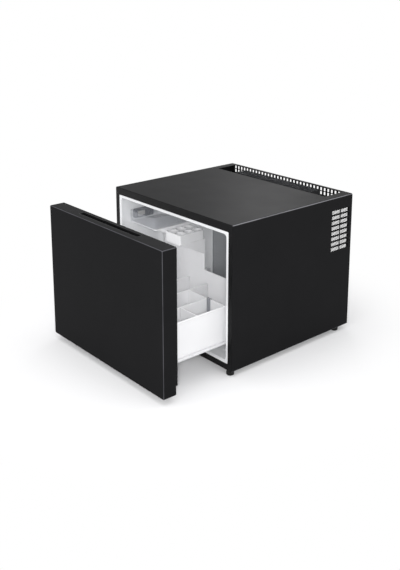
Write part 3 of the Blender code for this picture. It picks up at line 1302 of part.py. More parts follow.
def make_upper_tray(drawer):
    """Smoked tray with rounded front corners."""
    left, step, right = rack_edges()
    front, rear = rack_levels()
    gap = FIT + 1 * MM
    low = (left, front - FIT - TRAY_LENGTH)
    high = (step - gap, front - FIT)
    wall = TRAY_WALL
    corner = TRAY_CORNER
    fillet = 3 * MM

    def ring(inset, level):
        radius = max(corner - inset, 1 * MM)
        return rounded_ring((low[0] + inset, low[1] + inset), (high[0] - inset, high[1] - inset), radius,
                            level, "Z", 4)

    top = TRAY_BOTTOM + TRAY_HEIGHT
    rings = [ring(fillet, TRAY_BOTTOM), ring(0, TRAY_BOTTOM + fillet), ring(0, top), ring(wall, top),
             ring(wall, TRAY_BOTTOM + wall + fillet), ring(wall + fillet, TRAY_BOTTOM + wall)]
    add_piece("upper_tray", loft(rings), "smoke_plastic", drawer, smooth_angle=40)


def make_miniature_holder(drawer):
    """Holder for miniature bottles: a shallow box with round sockets."""
    left, step, right = rack_edges()
    front, rear = rack_levels()
    low = (step + 1 * MM, front - FIT - HOLDER_LENGTH)
    high = (right - FIT, front - FIT)
    edge = 2 * MM
    corner = 6 * MM
    top = HOLDER_BOTTOM + HOLDER_HEIGHT
    rings = [rounded_ring(low, high, corner, HOLDER_BOTTOM, "Z"),
             rounded_ring(low, high, corner, top - edge, "Z"),
             rounded_ring((low[0] + edge, low[1] + edge), (high[0] - edge, high[1] - edge), corner - edge,
                          top, "Z")]
    holder = add_piece("miniature_holder", loft(rings), "white_plastic", drawer, smooth_angle=40)
    pitch_x = (high[0] - low[0]) / CUP_COLUMNS
    pitch_y = (high[1] - low[1]) / CUP_ROWS
    cups = []
    for column in range(CUP_COLUMNS):
        for row in range(CUP_ROWS):
            centre = (low[0] + (column + 0.5) * pitch_x, low[1] + (row + 0.5) * pitch_y)
            cups.append(cylinder(CUP_DIAMETER / 2, HOLDER_BOTTOM + HOLDER_WALL, top + edge, "Z", centre, 20))
    combine(holder, merge_shapes(*cups), "DIFFERENCE")


def build():
    """Make every piece of the fridge."""
    clear_scene()
    cabinet = frame_empty("cabinet_frame", (0, CABINET_Y, FOOT_HEIGHT))
    drawer = frame_empty("drawer_frame", (0, DRAWER_Y, FOOT_HEIGHT))
    make_outer_casing(cabinet)
    make_base_pan(cabinet)
    make_front_frame(cabinet)
    make_feet(cabinet)
    make_inner_liner(cabinet)
    make_foam(cabinet)
    make_rear_bulkhead(cabinet)
    make_cold_plate(cabinet)
    make_cooler_stack(cabinet)
    make_condenser(cabinet)
    make_refrigerant_pipes(cabinet)
    make_rear_cover(cabinet)
    make_power_supply(cabinet)
    make_control(cabinet)
    make_runners(cabinet, drawer)
    make_front_shell(drawer)
    make_grip_cup(drawer)
    make_inner_panel(drawer)
    make_front_foam(drawer)
    make_gasket(drawer)
    make_basket(drawer)
    make_dividers(drawer)
    make_partitions(drawer)
    make_divider_clip(drawer)
    make_rack(drawer)
    make_upper_tray(drawer)
    make_miniature_holder(drawer)


build()
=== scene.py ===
# %% [markdown]
# # A drawer minibar fridge
#
# The object is a small hotel-room fridge. Its whole front pulls out as a drawer on roller runners, with
# a divided basket, a rack, a smoked tray and a holder for miniature bottles. A machine compartment with
# vents sits behind the cold cavity.
#
# The CAD model is packed already, with every piece at its real size and place. This script keeps it as
# a fixed frame. It makes finer pieces over it with Blender's mesh operators, gives each piece a
# finish, and sets up the floor, the light and the camera. Levels and places are in metres, which MM
# makes of millimetres. Radii, margins and walls are given to the helpers in millimetres. Two points
# less than a hair apart count as one.

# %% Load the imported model
import json
import math

import bmesh
import bpy
from mathutils import Matrix, Vector

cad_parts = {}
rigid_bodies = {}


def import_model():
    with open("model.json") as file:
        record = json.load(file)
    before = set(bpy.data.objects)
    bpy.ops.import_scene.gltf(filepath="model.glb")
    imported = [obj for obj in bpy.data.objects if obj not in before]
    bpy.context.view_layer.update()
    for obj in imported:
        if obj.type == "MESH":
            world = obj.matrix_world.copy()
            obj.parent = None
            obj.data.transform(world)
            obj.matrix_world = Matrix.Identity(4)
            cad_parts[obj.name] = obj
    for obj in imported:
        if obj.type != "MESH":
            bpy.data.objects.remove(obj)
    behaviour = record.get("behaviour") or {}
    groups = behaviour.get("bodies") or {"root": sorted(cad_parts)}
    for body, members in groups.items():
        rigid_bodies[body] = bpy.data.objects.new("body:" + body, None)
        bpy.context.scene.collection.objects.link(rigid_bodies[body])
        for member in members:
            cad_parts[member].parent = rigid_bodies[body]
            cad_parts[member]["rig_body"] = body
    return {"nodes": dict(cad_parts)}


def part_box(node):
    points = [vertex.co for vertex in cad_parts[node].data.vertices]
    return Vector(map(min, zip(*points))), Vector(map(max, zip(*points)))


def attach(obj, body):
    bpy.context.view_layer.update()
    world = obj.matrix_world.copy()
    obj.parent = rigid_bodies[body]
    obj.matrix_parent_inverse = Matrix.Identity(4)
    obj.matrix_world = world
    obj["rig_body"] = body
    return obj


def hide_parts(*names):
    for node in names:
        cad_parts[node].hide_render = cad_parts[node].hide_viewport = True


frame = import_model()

MM = 0.001
HAIR = 1e-6
X, Y, Z = 0, 1, 2
scene = bpy.context.scene
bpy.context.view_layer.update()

# %% [markdown]
# ## Measuring from the frame
#
# Sizes are taken from the CAD nodes where they can be, so the pieces fit. The cabinet's front plane and
# underside, and the rear edge of the drawer front, are the three levels that the rest is measured
# from. Most pieces are built up along one axis, so one helper gives a box's outline across that axis
# and its two levels on it.

# %% Levels of the cabinet and the drawer
CASE_LOW, CASE_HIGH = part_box("outer_casing")
SLAB_LOW, SLAB_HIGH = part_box("drawer_front_shell")


def depth(distance):
    """A Y level that many millimetres behind the cabinet's front plane."""
    return CASE_LOW.y + distance * MM


def seen_along(box, axis):
    """A box's outline across an axis, as two corners, and its lowest and highest level on it."""
    low, high = box
    across = [i for i in (X, Y, Z) if i != axis]
    return [[corner[i] for i in across] for corner in (low, high)], low[axis], high[axis]


print("casing, mm:", [round(v / MM, 1) for v in CASE_HIGH - CASE_LOW])

# %% [markdown]
# ## Shaping helpers
#
# Most of this fridge is folded sheet or moulded plastic with rounded corners. Such a shape is a stack
# of rounded rectangles, each joined to the next. A rounded rectangle is a grid of one face whose four
# corners are bevelled. Bridging two of them gives a wall, and a bevel along a loop gives the radius
# that a mould or a press leaves. They are first stacked apart and then moved to their levels, because
# two that lie in one plane can be bridged crosswise.


# %% Rounded rectangles and skins
def round_edges(shape, edges, radius, segments=4):
    """Round some edges to a radius in mm."""
    bmesh.ops.bevel(shape, geom=edges, offset=radius * MM, offset_type="OFFSET", segments=segments,
                    profile=0.5, affect="EDGES", material=-1, clamp_overlap=True)


def plate(shape, low, high, level, axis, corner, segments):
    """Add a flat rounded rectangle across an axis, and return its face."""
    before = set(shape.faces)
    verts = bmesh.ops.create_grid(shape, x_segments=1, y_segments=1, size=0.5)["verts"]
    across = [i for i in (X, Y, Z) if i != axis]
    for vert in verts:
        share = (vert.co.x + 0.5, vert.co.y + 0.5)
        point = Vector((level, level, level))
        for i in (0, 1):
            point[across[i]] = low[i] + share[i] * (high[i] - low[i])
        vert.co = point
    bmesh.ops.bevel(shape, geom=verts, offset=corner * MM, offset_type="OFFSET", segments=segments,
                    profile=0.5, affect="VERTICES", material=-1)
    return (set(shape.faces) - before).pop()


def skin(rings, axis, segments=6, first=True, last=True, closed=False):
    """Join rounded rectangles, each (low, high, level, corner and edge in mm), into one skin."""
    shape = bmesh.new()
    faces = [plate(shape, low, high, 0.1 * i, axis, corner, segments)
             for i, (low, high, level, corner, edge) in enumerate(rings)]
    loops = [list(face.edges) for face in faces]
    kept = [] if closed else faces[:1] * first + faces[-1:] * last
    bmesh.ops.delete(shape, geom=[face for face in faces if face not in kept], context="FACES_ONLY")
    pairs = list(zip(loops, loops[1:]))
    if closed:
        pairs.append((loops[-1], loops[0]))
    for one, other in pairs:
        bmesh.ops.bridge_loops(shape, edges=one + other)
    for loop, ring in zip(loops, rings):
        for vert in {vert for edge in loop for vert in edge.verts}:
            vert.co[axis] = ring[2]
    bmesh.ops.recalc_face_normals(shape, faces=shape.faces)
    for loop, ring in zip(loops, rings):
        if ring[4]:
            round_edges(shape, loop, ring[4])
    bmesh.ops.recalc_face_normals(shape, faces=shape.faces)
    return shape


def grown(low, high, size):
    """Corners moved outwards by a size in mm, or inwards if it is negative."""
    return [v - size * MM for v in low], [v + size * MM for v in high]


print("rounded skins ready")

# %% [markdown]
# ## Punching and thickening sheet
#
# Vent slots are punched in a real sheet before it is folded. Here the faces that look one way are cut
# by planes at the slots' edges, the faces inside the slots are deleted, and then the whole sheet gets
# its thickness, so each slot shows a real edge.


# %% Windows and sheet thickness
def facing(shape, direction):
    """Faces that look one way."""
    shape.normal_update()
    return [face for face in shape.faces if face.normal.dot(Vector(direction)) > 0.999]


def everything(shape):
    """All of a shape's vertices, edges and faces."""
    return shape.verts[:] + shape.edges[:] + shape.faces[:]


def slice_at(shape, parts, axis, level, **options):
    """Cut parts of a shape by a plane across an axis."""
    normal = Vector([float(i == axis) for i in (X, Y, Z)])
    bmesh.ops.bisect_plane(shape, geom=parts, dist=HAIR, plane_co=normal * level, plane_no=normal,
                           **options)


def cut(shape, direction, axis, levels, within=lambda middle: True):
    """Cut the faces that look one way by planes across an axis."""
    for level in levels:
        faces = [face for face in facing(shape, direction) if within(face.calc_center_median())]
        edges = {edge for face in faces for edge in face.edges}
        verts = {vert for face in faces for vert in face.verts}
        slice_at(shape, faces + list(edges) + list(verts), axis, level)


def inside(spans, value):
    """Whether a value lies in one of several spans."""
    return any(low < value < high for low, high in spans)


def punch(shape, direction, row_axis, rows, column_axis, columns):
    """Open a grid of windows in the faces that look one way. Rows and columns are (low, high) spans."""
    ends = sorted(level for span in rows for level in span)
    cut(shape, direction, row_axis, ends)
    cut(shape, direction, column_axis, sorted(level for span in columns for level in span),
        lambda middle: ends[0] < middle[row_axis] < ends[-1])
    gone = []
    for face in facing(shape, direction):
        middle = face.calc_center_median()
        if inside(rows, middle[row_axis]) and inside(columns, middle[column_axis]):
            gone.append(face)
    bmesh.ops.delete(shape, geom=gone, context="FACES")
    return len(gone)


def thicken(shape, wall, away=None):
    """Give a skin its wall in mm behind its faces, which are turned first if they look away."""
    if away and facing(shape, away):
        bmesh.ops.reverse_faces(shape, faces=shape.faces[:])
    bmesh.ops.solidify(shape, geom=shape.faces[:], thickness=wall * MM)


def row_spans(start, pitch, size, count):
    """Evenly spaced spans that run down from a start level."""
    return [(start - i * pitch - size, start - i * pitch) for i in range(count)]


print("punching ready")

# %% [markdown]
# ## Pieces
#
# A finished piece stays at the origin with its place in its mesh and rides on the same body as the CAD
# node that it stands for. A CAD mesh arrives as loose triangles, so a softened copy is merged and its
# flat faces are joined before its edges are rounded.


# %% Boxes, softened copies and finished pieces
SHARP = math.radians(25)
CRISP = math.radians(35)


def add_box(shape, low, high, edge=0.0):
    """Add a box between two corners, its edges rounded if a radius is given."""
    size = [b - a for a, b in zip(low, high)]
    middle = [(a + b) / 2 for a, b in zip(low, high)]
    matrix = Matrix.Translation(middle) @ Matrix.Diagonal((*size, 1.0))
    verts = bmesh.ops.create_cube(shape, size=1.0, matrix=matrix)["verts"]
    if edge:
        round_edges(shape, list({e for vert in verts for e in vert.link_edges}), edge, 2)


def soften(name, node, radius, material, end=None):
    """Finish a merged copy of a CAD node with its sharp edges rounded, cut off at a Y level if any."""
    shape = bmesh.new()
    shape.from_mesh(frame["nodes"][node].data)
    bmesh.ops.remove_doubles(shape, verts=shape.verts, dist=10 * HAIR)
    if end is not None:
        slice_at(shape, everything(shape), Y, end, clear_outer=True)
        bmesh.ops.holes_fill(shape, edges=[edge for edge in shape.edges if edge.is_boundary])
    bmesh.ops.dissolve_limit(shape, angle_limit=math.radians(1), verts=shape.verts, edges=shape.edges)
    sharp = [e for e in shape.edges if len(e.link_faces) == 2 and e.calc_face_angle() > SHARP]
    round_edges(shape, sharp, radius, 2)
    finish(name, shape, material, node)


def into_scene(name, data):
    """A new object in the scene."""
    item = bpy.data.objects.new(name, data)
    scene.collection.objects.link(item)
    return item


def new_object(name, shape, material):
    """Turn a shape into an object with one material."""
    mesh = bpy.data.meshes.new(name)
    shape.to_mesh(mesh)
    shape.free()
    mesh.materials.append(material)
    return into_scene(name, mesh)


def finish(name, shape, material, *nodes):
    """Turn a shape into a piece that stands for one or more CAD nodes."""
    bmesh.ops.recalc_face_normals(shape, faces=shape.faces)
    piece = new_object(name, shape, material)
    mesh = piece.data
    mesh.shade_smooth()
    mesh.set_sharp_from_angle(angle=CRISP)
    shading = piece.modifiers.new("even_shading", "WEIGHTED_NORMAL")
    shading.keep_sharp = True
    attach(piece, frame["nodes"][nodes[0]]["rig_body"])
    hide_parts(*nodes)
    mesh.calc_loop_triangles()
    print(name, len(mesh.loop_triangles), "triangles")


def dress(material, *nodes):
    """Give CAD nodes that keep their own shape a better material."""
    for node in nodes:
        data = frame["nodes"][node].data
        data.materials.clear()
        data.materials.append(material)
    print(material.name, "on", ", ".join(nodes))


# %% [markdown]
# ## Finishes
#
# Each finish starts from what the real surface is and how it was made. Colours are written as sRGB
# hex values and turned to linear light by one function. Pattern sizes are real ones in millimetres.
#
# Almost every surface has faint clouds in its colour and gloss, a fine grain from the mould, the
# coating or the roller, and edges in a colour of their own. On most finishes that colour is wear from
# hands and cloths; on the black powder coat and the white basket it is a painted highlight, and on the
# smoked tray painted shade. On a small moulding those edges are where the surface's own direction
# differs from one blurred over a millimetre or so. A folded sheet's edges are rounder, but its faces
# are square to the axes, so there every direction between two axes belongs to an edge.


# %% Colour, nodes and surface detail
def linear(code):
    """Linear colour of an sRGB hex value."""
    parts = [int(code[i:i + 2], 16) / 255 for i in (1, 3, 5)]
    return (*[v / 12.92 if v <= 0.04045 else ((v + 0.055) / 1.055) ** 2.4 for v in parts], 1.0)


def add_node(tree, kind, settings=None, links=None):
    """Add one shader node, set its values and link its inputs."""
    node = tree.nodes.new("ShaderNode" + kind)
    for key, value in (settings or {}).items():
        if isinstance(key, int) or key in node.inputs:
            node.inputs[key].default_value = value
        else:
            setattr(node, key, value)
    for key, source in (links or {}).items():
        tree.links.new(source, node.inputs[key])
    return node


def new_finish(name, **settings):
    """A material with its shader's own values set, and the piece's coordinates."""
    material = bpy.data.materials.new(name)
    material.use_nodes = True
    tree = material.node_tree
    shader = tree.nodes["Principled BSDF"]
    for key, value in settings.items():
        shader.inputs[key.replace("_", " ")].default_value = value
    place = add_node(tree, "TexCoord").outputs["Object"]
    print("finish:", name)
    return material, tree, shader, place


def near_edge(tree, size):
    """How near an edge is, from 0 up, on a moulding that is blurred over a size in mm."""
    blurred = add_node(tree, "Bevel", {"samples": 4, "Radius": size * MM})
    exact = add_node(tree, "NewGeometry")
    match = add_node(tree, "VectorMath", {"operation": "DOT_PRODUCT"},
                     {0: blurred.outputs["Normal"], 1: exact.outputs["Normal"]})
    return add_node(tree, "MapRange",
                    {"From Min": 0.98, "From Max": 0.8, "To Min": 0.0, "To Max": 1.4},
                    {"Value": match.outputs["Value"]}).outputs["Result"]


def off_square(tree):
    """How far a face is turned from square to the piece's axes, from 0 up."""
    own = add_node(tree, "TexCoord")
    size = add_node(tree, "VectorMath", {"operation": "ABSOLUTE"}, {0: own.outputs["Normal"]})
    parts = add_node(tree, "SeparateXYZ", None, {0: size.outputs["Vector"]})
    flat = add_node(tree, "Math", {"operation": "MAXIMUM"},
                    {0: parts.outputs["X"], 1: parts.outputs["Y"]})
    match = add_node(tree, "Math", {"operation": "MAXIMUM"},
                     {0: flat.outputs["Value"], 1: parts.outputs["Z"]})
    return add_node(tree, "MapRange",
                    {"From Min": 0.94, "From Max": 0.78, "To Min": 0.0, "To Max": 2.0},
                    {"Value": match.outputs["Value"]}).outputs["Result"]


def edge_wear_and_highlight(tree, colour, edge_colour, amount, pattern):
    """A colour that turns to an edge colour by an amount, patchily as a pattern says, for wear on some
    finishes and painted light on others.
    """
    patchy = add_node(tree, "Math", {"operation": "MULTIPLY", "use_clamp": True},
                      {0: amount, 1: pattern})
    return add_node(tree, "Mix", {"data_type": "RGBA", 7: linear(edge_colour)},
                    {0: patchy.outputs["Value"], 6: colour}).outputs[2]


def surface(tree, shader, colour, pattern, roughness, height, relief, strength=1.0, span=(0.0, 1.0)):
    """Link a colour to the shader, a gloss that follows a pattern, and a relief in mm."""
    gloss = add_node(tree, "MapRange",
                     {"From Min": span[0], "From Max": span[1], "To Min": roughness[0],
                      "To Max": roughness[1]}, {"Value": pattern})
    bump = add_node(tree, "Bump", {"Strength": strength, "Distance": relief * MM}, {"Height": height})
    for name, source in (("Base Color", colour), ("Roughness", gloss.outputs["Result"]),
                         ("Normal", bump.outputs["Normal"])):
        tree.links.new(source, shader.inputs[name])


def detailed(name, colours, cloud, roughness, grain, relief, edge_colour=None, edge=0.9, **settings):
    """A finish with clouds of colour and gloss, a grain in relief, and edges tinted to a colour, which
    stands for wear on some finishes and for painted light on others.

    Sizes are in mm. Edge is the blur that finds a moulding's edges, or 0 on a folded sheet.
    """
    material, tree, shader, place = new_finish(name, **settings)
    clouds = add_node(tree, "TexNoise", {"Scale": 1 / (cloud * MM), "Detail": 4.0},
                      {"Vector": place}).outputs["Fac"]
    grains = add_node(tree, "TexNoise", {"Scale": 1 / (grain * MM), "Detail": 2.0},
                      {"Vector": place}).outputs["Fac"]
    colour = add_node(tree, "Mix", {"data_type": "RGBA", 6: linear(colours[0]), 7: linear(colours[1])},
                      {0: clouds}).outputs[2]
    # The edge colour is rubbed wear on most finishes, a painted highlight on the black powder coat and
    # the white basket, and painted shade on the smoked tray.
    if edge_colour:
        colour = edge_wear_and_highlight(tree, colour, edge_colour, near_edge(tree, edge) if edge else off_square(tree), clouds)
    surface(tree, shader, colour, clouds, roughness, grains, relief, span=(0.3, 0.7))
    return material


print("white is", linear("#FFFFFF"))

# %% [markdown]
# ### Powder-coated steel
#
# The casing, the drawer front and the rear cover are steel sheet with a matt black powder coat. The
# baked powder leaves a very fine orange peel and a soft, even sheen. The studio round it is white, so
# a low specular level keeps it as dark at a shallow angle as it looks. The rounded edges are painted
# paler grey, a painted highlight for the light that they catch, palest on the casing.

# %% Powder-coated steel, satin black
PAINT = ("#1A1A1B", "#1E1E1F")
# The edge colours #505054 and #7C7C80 are painted highlights along the sheet's rounded edges.
powder_coat = detailed("powder_coated_steel_black", PAINT, 60, (0.42, 0.47), 0.9, 0.012,
                       "#505054", 0, Specular_IOR_Level=0.015)
casing_coat = detailed("powder_coated_steel_casing", PAINT, 70, (0.43, 0.47), 0.9, 0.012,
                       "#7C7C80", 0, Specular_IOR_Level=0.02)

# %% [markdown]
# ### Moulded black plastic
#
# The frame round the mouth, the lining of the finger grip and the mains inlet are ABS moulded in a
# spark-eroded tool, which leaves a fine even grain. The rollers are acetal, smoother and darker.

# %% ABS and acetal
black_abs = detailed("moulded_black_abs", ("#121213", "#181819"), 40, (0.4, 0.52), 0.45, 0.02,
                     "#505053", Specular_IOR_Level=0.12)
acetal = detailed("turned_black_acetal", ("#151516", "#1E1E20"), 8, (0.3, 0.42), 0.3, 0.01,
                  "#4A4A4C", 0.4, Specular_IOR_Level=0.4)

# %% [markdown]
# ### White plastics
#
# The cavity liner and the panel behind the drawer front are polystyrene sheet, drawn hot over a mould
# by vacuum, so they are smooth with slow waves. The basket and its parts are injection-moulded
# polypropylene, a little waxier in its sheen, with a fine grain and edges painted paler, a painted
# highlight.

# %% Polystyrene and polypropylene
liner_white = detailed("vacuum_formed_polystyrene_white", ("#E8E9EB", "#EFF0F1"), 90,
                       (0.32, 0.42), 3.0, 0.02, IOR=1.59)
# Its edge colour, #F8F8F8, is a painted highlight on the moulded edges.
basket_white = detailed("moulded_polypropylene_white", ("#E5E5E7", "#ECECED"), 70,
                        (0.36, 0.46), 0.8, 0.012, "#F8F8F8", IOR=1.49)

# %% [markdown]
# ### Coated and bare metals
#
# The runners are steel with a white epoxy coat, glossier than the powder on the casing. The pan, the
# bulkhead and the rivets are zinc-plated, which shows as a faint patchwork of crystals. The cold
# plate is aluminium with a grey anodised skin, rolled in one direction, so its grain is drawn long.
# The condenser's fins are lacquered black, and the blocks of the cooler are plain mill-finish
# aluminium.

# %% Epoxy coat and zinc
white_epoxy = detailed("epoxy_coated_steel_white", ("#DCDDDF", "#E6E6E8"), 30, (0.25, 0.36),
                       1.2, 0.02, "#B9BABD", IOR=1.5)

zinc, tree, shader, place = new_finish("zinc_plated_steel", Metallic=1.0)
crystals = add_node(tree, "TexVoronoi", {"Scale": 1 / (7 * MM)}, {"Vector": place})
tint = add_node(tree, "Mix", {"data_type": "RGBA", 6: linear("#8E9296"), 7: linear("#B4B8BB")},
                {0: crystals.outputs["Color"]})
facets = crystals.outputs["Distance"]
surface(tree, shader, tint.outputs[2], facets, (0.32, 0.5), facets, 0.02, strength=0.5)


# %% Rolled aluminium, plain and anodised
def rolled(name, dark, light, edge_colour, roughness, grain, metallic):
    """Aluminium with its rolling lines drawn long across the sheet, in X."""
    material, tree, shader, place = new_finish(name, Metallic=metallic)
    lines = add_node(tree, "Mapping", {"Scale": (0.04, 1.0, 1.0)}, {"Vector": place})
    streaks = add_node(tree, "TexNoise", {"Scale": 1 / (grain * MM), "Detail": 3.0},
                       {"Vector": lines.outputs["Vector"]}).outputs["Fac"]
    tint = add_node(tree, "Mix", {"data_type": "RGBA", 6: linear(dark), 7: linear(light)}, {0: streaks})
    colour = edge_wear_and_highlight(tree, tint.outputs[2], edge_colour, near_edge(tree, 0.7), streaks)
    surface(tree, shader, colour, streaks, roughness, streaks, 0.02, strength=0.6)
    return material


cold_aluminium = rolled("anodised_aluminium_slate", "#9A9C9F", "#B0B2B5", "#C9CBCE",
                        (0.34, 0.5), 1.2, 0.3)
fin_aluminium = rolled("black_lacquered_fins", "#1B1C1E", "#2A2B2E", "#55575B", (0.4, 0.55), 0.8, 0.3)
mill_aluminium = rolled("mill_finish_aluminium", "#9A9DA1", "#BFC2C5", "#D6D9DC",
                        (0.3, 0.46), 0.8, 1.0)

# %% [markdown]
# ### Small finishes
#
# The gasket and the feet are soft black rubber, matt and slightly dusty. The control housing, its
# knob and the power supply are grey ABS, and the clip on the dividers is a paler grey. Copper tubes
# darken in patches where they have been hot. The thermoelectric module is a pale ceramic, the foam is
# yellowish with open pores, and the circuit board is green with copper tracks.

# %% Rubber, grey ABS, copper, ceramic, board and foam
rubber = detailed("moulded_rubber_black", ("#161616", "#232322"), 12, (0.62, 0.8), 0.5, 0.03,
                  "#3A3A39", 0.6, Specular_IOR_Level=0.3)
grey_abs = detailed("moulded_grey_abs", ("#46484C", "#505257"), 25, (0.4, 0.5), 0.5, 0.02,
                    "#6E7074", 0.7, Specular_IOR_Level=0.4)
pale_grey_abs = detailed("moulded_pale_grey_abs", ("#85878C", "#909297"), 25, (0.4, 0.5), 0.5,
                         0.02, "#A8AAAE", 0.7, Specular_IOR_Level=0.4)
copper = detailed("drawn_copper_tube", ("#8C5A40", "#B87A58"), 14, (0.28, 0.44), 0.8, 0.01,
                  Metallic=1.0)
ceramic = detailed("fired_alumina_ceramic", ("#E4E2DA", "#F0EEE8"), 6, (0.5, 0.62), 0.2, 0.01, IOR=1.7)
foam = detailed("blown_polyurethane_foam", ("#CDB87C", "#E2D29E"), 9, (0.85, 0.95), 0.9, 0.25,
                Specular_IOR_Level=0.2)

board, tree, shader, place = new_finish("glass_epoxy_circuit_board", IOR=1.55)
tracks = add_node(tree, "TexBrick", {
    "Scale": 1 / (6 * MM), "Mortar Size": 0.04, "Color1": linear("#1C5A34"),
    "Color2": linear("#226A3E"), "Mortar": linear("#9C7A42")}, {"Vector": place})
mortar = tracks.outputs["Fac"]
surface(tree, shader, tracks.outputs["Color"], mortar, (0.32, 0.5), mortar, 0.05)

# %% [markdown]
# ### Clear plastics
#
# The tray is smoke-tinted SAN, a clear hard plastic. A low alpha lets what stands behind it show
# through, a little greyer, and its edges are painted a darker grey, painted shade for clear walls seen
# edge-on. The lamp's lens is frosted polycarbonate that glows softly white.

# %% Smoked tray and frosted lens
# Its edge colour, #8F929A, is painted shade along the tray's edges and rims.
smoke = detailed("moulded_san_smoke", ("#BEC1C8", "#D0D3D9"), 30, (0.08, 0.16), 2.0, 0.01,
                 "#8F929A", 1.2, IOR=1.57, Alpha=0.17)
frosted = detailed("frosted_polycarbonate", ("#ECEAE4", "#F6F4EF"), 12, (0.4, 0.55), 0.6, 0.03,
                   IOR=1.58, Transmission_Weight=0.5)

# %% [markdown]
# ## The cabinet's casing
#
# The casing is one steel sheet folded round the cabinet: two sides, the top, and two narrow returns
# underneath. It could be a box with a hollow cut out, but a sheet is closer to how it is made: a box
# whose long edges are rounded to the fold radius, with its front, its back and most of its underside
# removed, then punched and given its one millimetre of steel.

# %% Folded casing with its vents
BEND = 4.0
SHEET = 1.0
RETURN = 11 * MM
VENT_COLUMNS = ((365, 397.5), (401, 437.1))
VENT_TOP, VENT_PITCH, VENT_SIZE, VENT_ROWS = 348, 14.9, 9.8, 8
TOP_VENT, TOP_STRIP = (365, 440), 28 * MM

casing = bmesh.new()
add_box(casing, CASE_LOW, CASE_HIGH)
long_edges = [edge for edge in casing.edges if abs(edge.verts[0].co.y - edge.verts[1].co.y) > HAIR]
round_edges(casing, long_edges, BEND, 6)
bmesh.ops.delete(casing, geom=facing(casing, (0, -1, 0)) + facing(casing, (0, 1, 0)), context="FACES")
punch(casing, (0, 0, -1), Y, [(CASE_LOW.y - MM, CASE_HIGH.y + MM)], X,
      [(CASE_LOW.x + RETURN, CASE_HIGH.x - RETURN)])
rows = row_spans(CASE_LOW.z + VENT_TOP * MM, VENT_PITCH * MM, VENT_SIZE * MM, VENT_ROWS)
*columns, top_vent = [(depth(a), depth(b)) for a, b in (*VENT_COLUMNS, TOP_VENT)]
slots = sum(punch(casing, (side, 0, 0), Z, rows, Y, columns) for side in (-1, 1))
punch(casing, (0, 0, 1), Y, [top_vent], X, [(CASE_LOW.x + TOP_STRIP, CASE_HIGH.x - TOP_STRIP)])
thicken(casing, SHEET)
finish("folded_casing", casing, casing_coat, "outer_casing")
print("side slots:", slots)

# %% [markdown]
# ## The frame round the mouth
#
# A moulded frame closes the casing at the front and holds the edge of the white liner in a step. Its
# section is a closed chain of rings, front to back outside and back to front inside, so it can be
# skinned in one go and its visible edges rounded as a mould would leave them.

# %% Moulded mouth frame
GAP = 0.3
FLANGE_WIDTH = 8
LINER_WALL = 2.5
SEAT_DEPTH = 3.1 * MM
FRAME_CORNER, SEAT_CORNER, PASSAGE_CORNER = 2.7, 2.8, 16
outer, front, back = seen_along(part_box("front_frame"), Y)
flange, liner_front, liner_back = seen_along(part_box("inner_liner"), Y)
seat = grown(*flange, GAP)
passage = grown(*seat, LINER_WALL - FLANGE_WIDTH)
mouth_frame = skin([
    (*outer, front, FRAME_CORNER, 0.9),
    (*outer, back, FRAME_CORNER, 0),
    (*passage, back, PASSAGE_CORNER, 0),
    (*passage, front + SEAT_DEPTH, PASSAGE_CORNER, 0),
    (*seat, front + SEAT_DEPTH, SEAT_CORNER, 0),
    (*seat, front, SEAT_CORNER, 0.5),
], Y, closed=True)
finish("mouth_frame", mouth_frame, black_abs, "front_frame")

# %% [markdown]
# ## The white cavity
#
# The liner is a sheet drawn hot over a block. It has a flat flange that shows as a bright line round
# the mouth, a rolled mouth edge, large corner radii and a filleted back. Only its inside is modelled
# as a skin, and the wall is added behind it.

# %% Vacuum-formed liner
CAVITY_CORNER = 9
cavity = grown(*flange, -FLANGE_WIDTH)
cavity_back = liner_back - LINER_WALL * MM
liner = skin([
    (*flange, liner_front, 2.5, 0),
    (*cavity, liner_front, CAVITY_CORNER, 1.6),
    (*cavity, cavity_back, CAVITY_CORNER, 5),
], Y, segments=8, first=False)
thicken(liner, LINER_WALL, (0, 1, 0))
finish("formed_liner", liner, liner_white, "inner_liner")
print("cavity depth, mm:", round((cavity_back - liner_front) / MM, 1))

# %% [markdown]
# ## The cold plate
#
# A flat aluminium plate covers the back of the cavity, with its rim turned forward so that melt water
# runs down its edge. It is a shallow tray that stands upright, so the same skin makes it.

# %% Cold plate with a turned rim
RIM, PLATE_WALL = 2, 2.1
rim, plate_front, plate_back = seen_along(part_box("cold_plate"), Y)
cold_plate = skin([
    (*rim, plate_back, CAVITY_CORNER, 1.6),
    (*rim, plate_front, CAVITY_CORNER, 0.5),
    (*grown(*rim, -RIM), plate_front, CAVITY_CORNER - RIM, 0.5),
    (*grown(*rim, -RIM), plate_back - PLATE_WALL * MM, CAVITY_CORNER - RIM, 0.8),
], Y, segments=8)
finish("evaporator_plate", cold_plate, cold_aluminium, "cold_plate")

# %% [markdown]
# ## The drawer front
#
# The front is a deep steel pan: a flat face with rounded edges, and a rim that reaches back over the
# gasket and is cut short at the bottom. A long slot in its top edge is the finger grip. The pan is
# skinned open at the back, the slot and the notch are cut, and then it gets its wall.

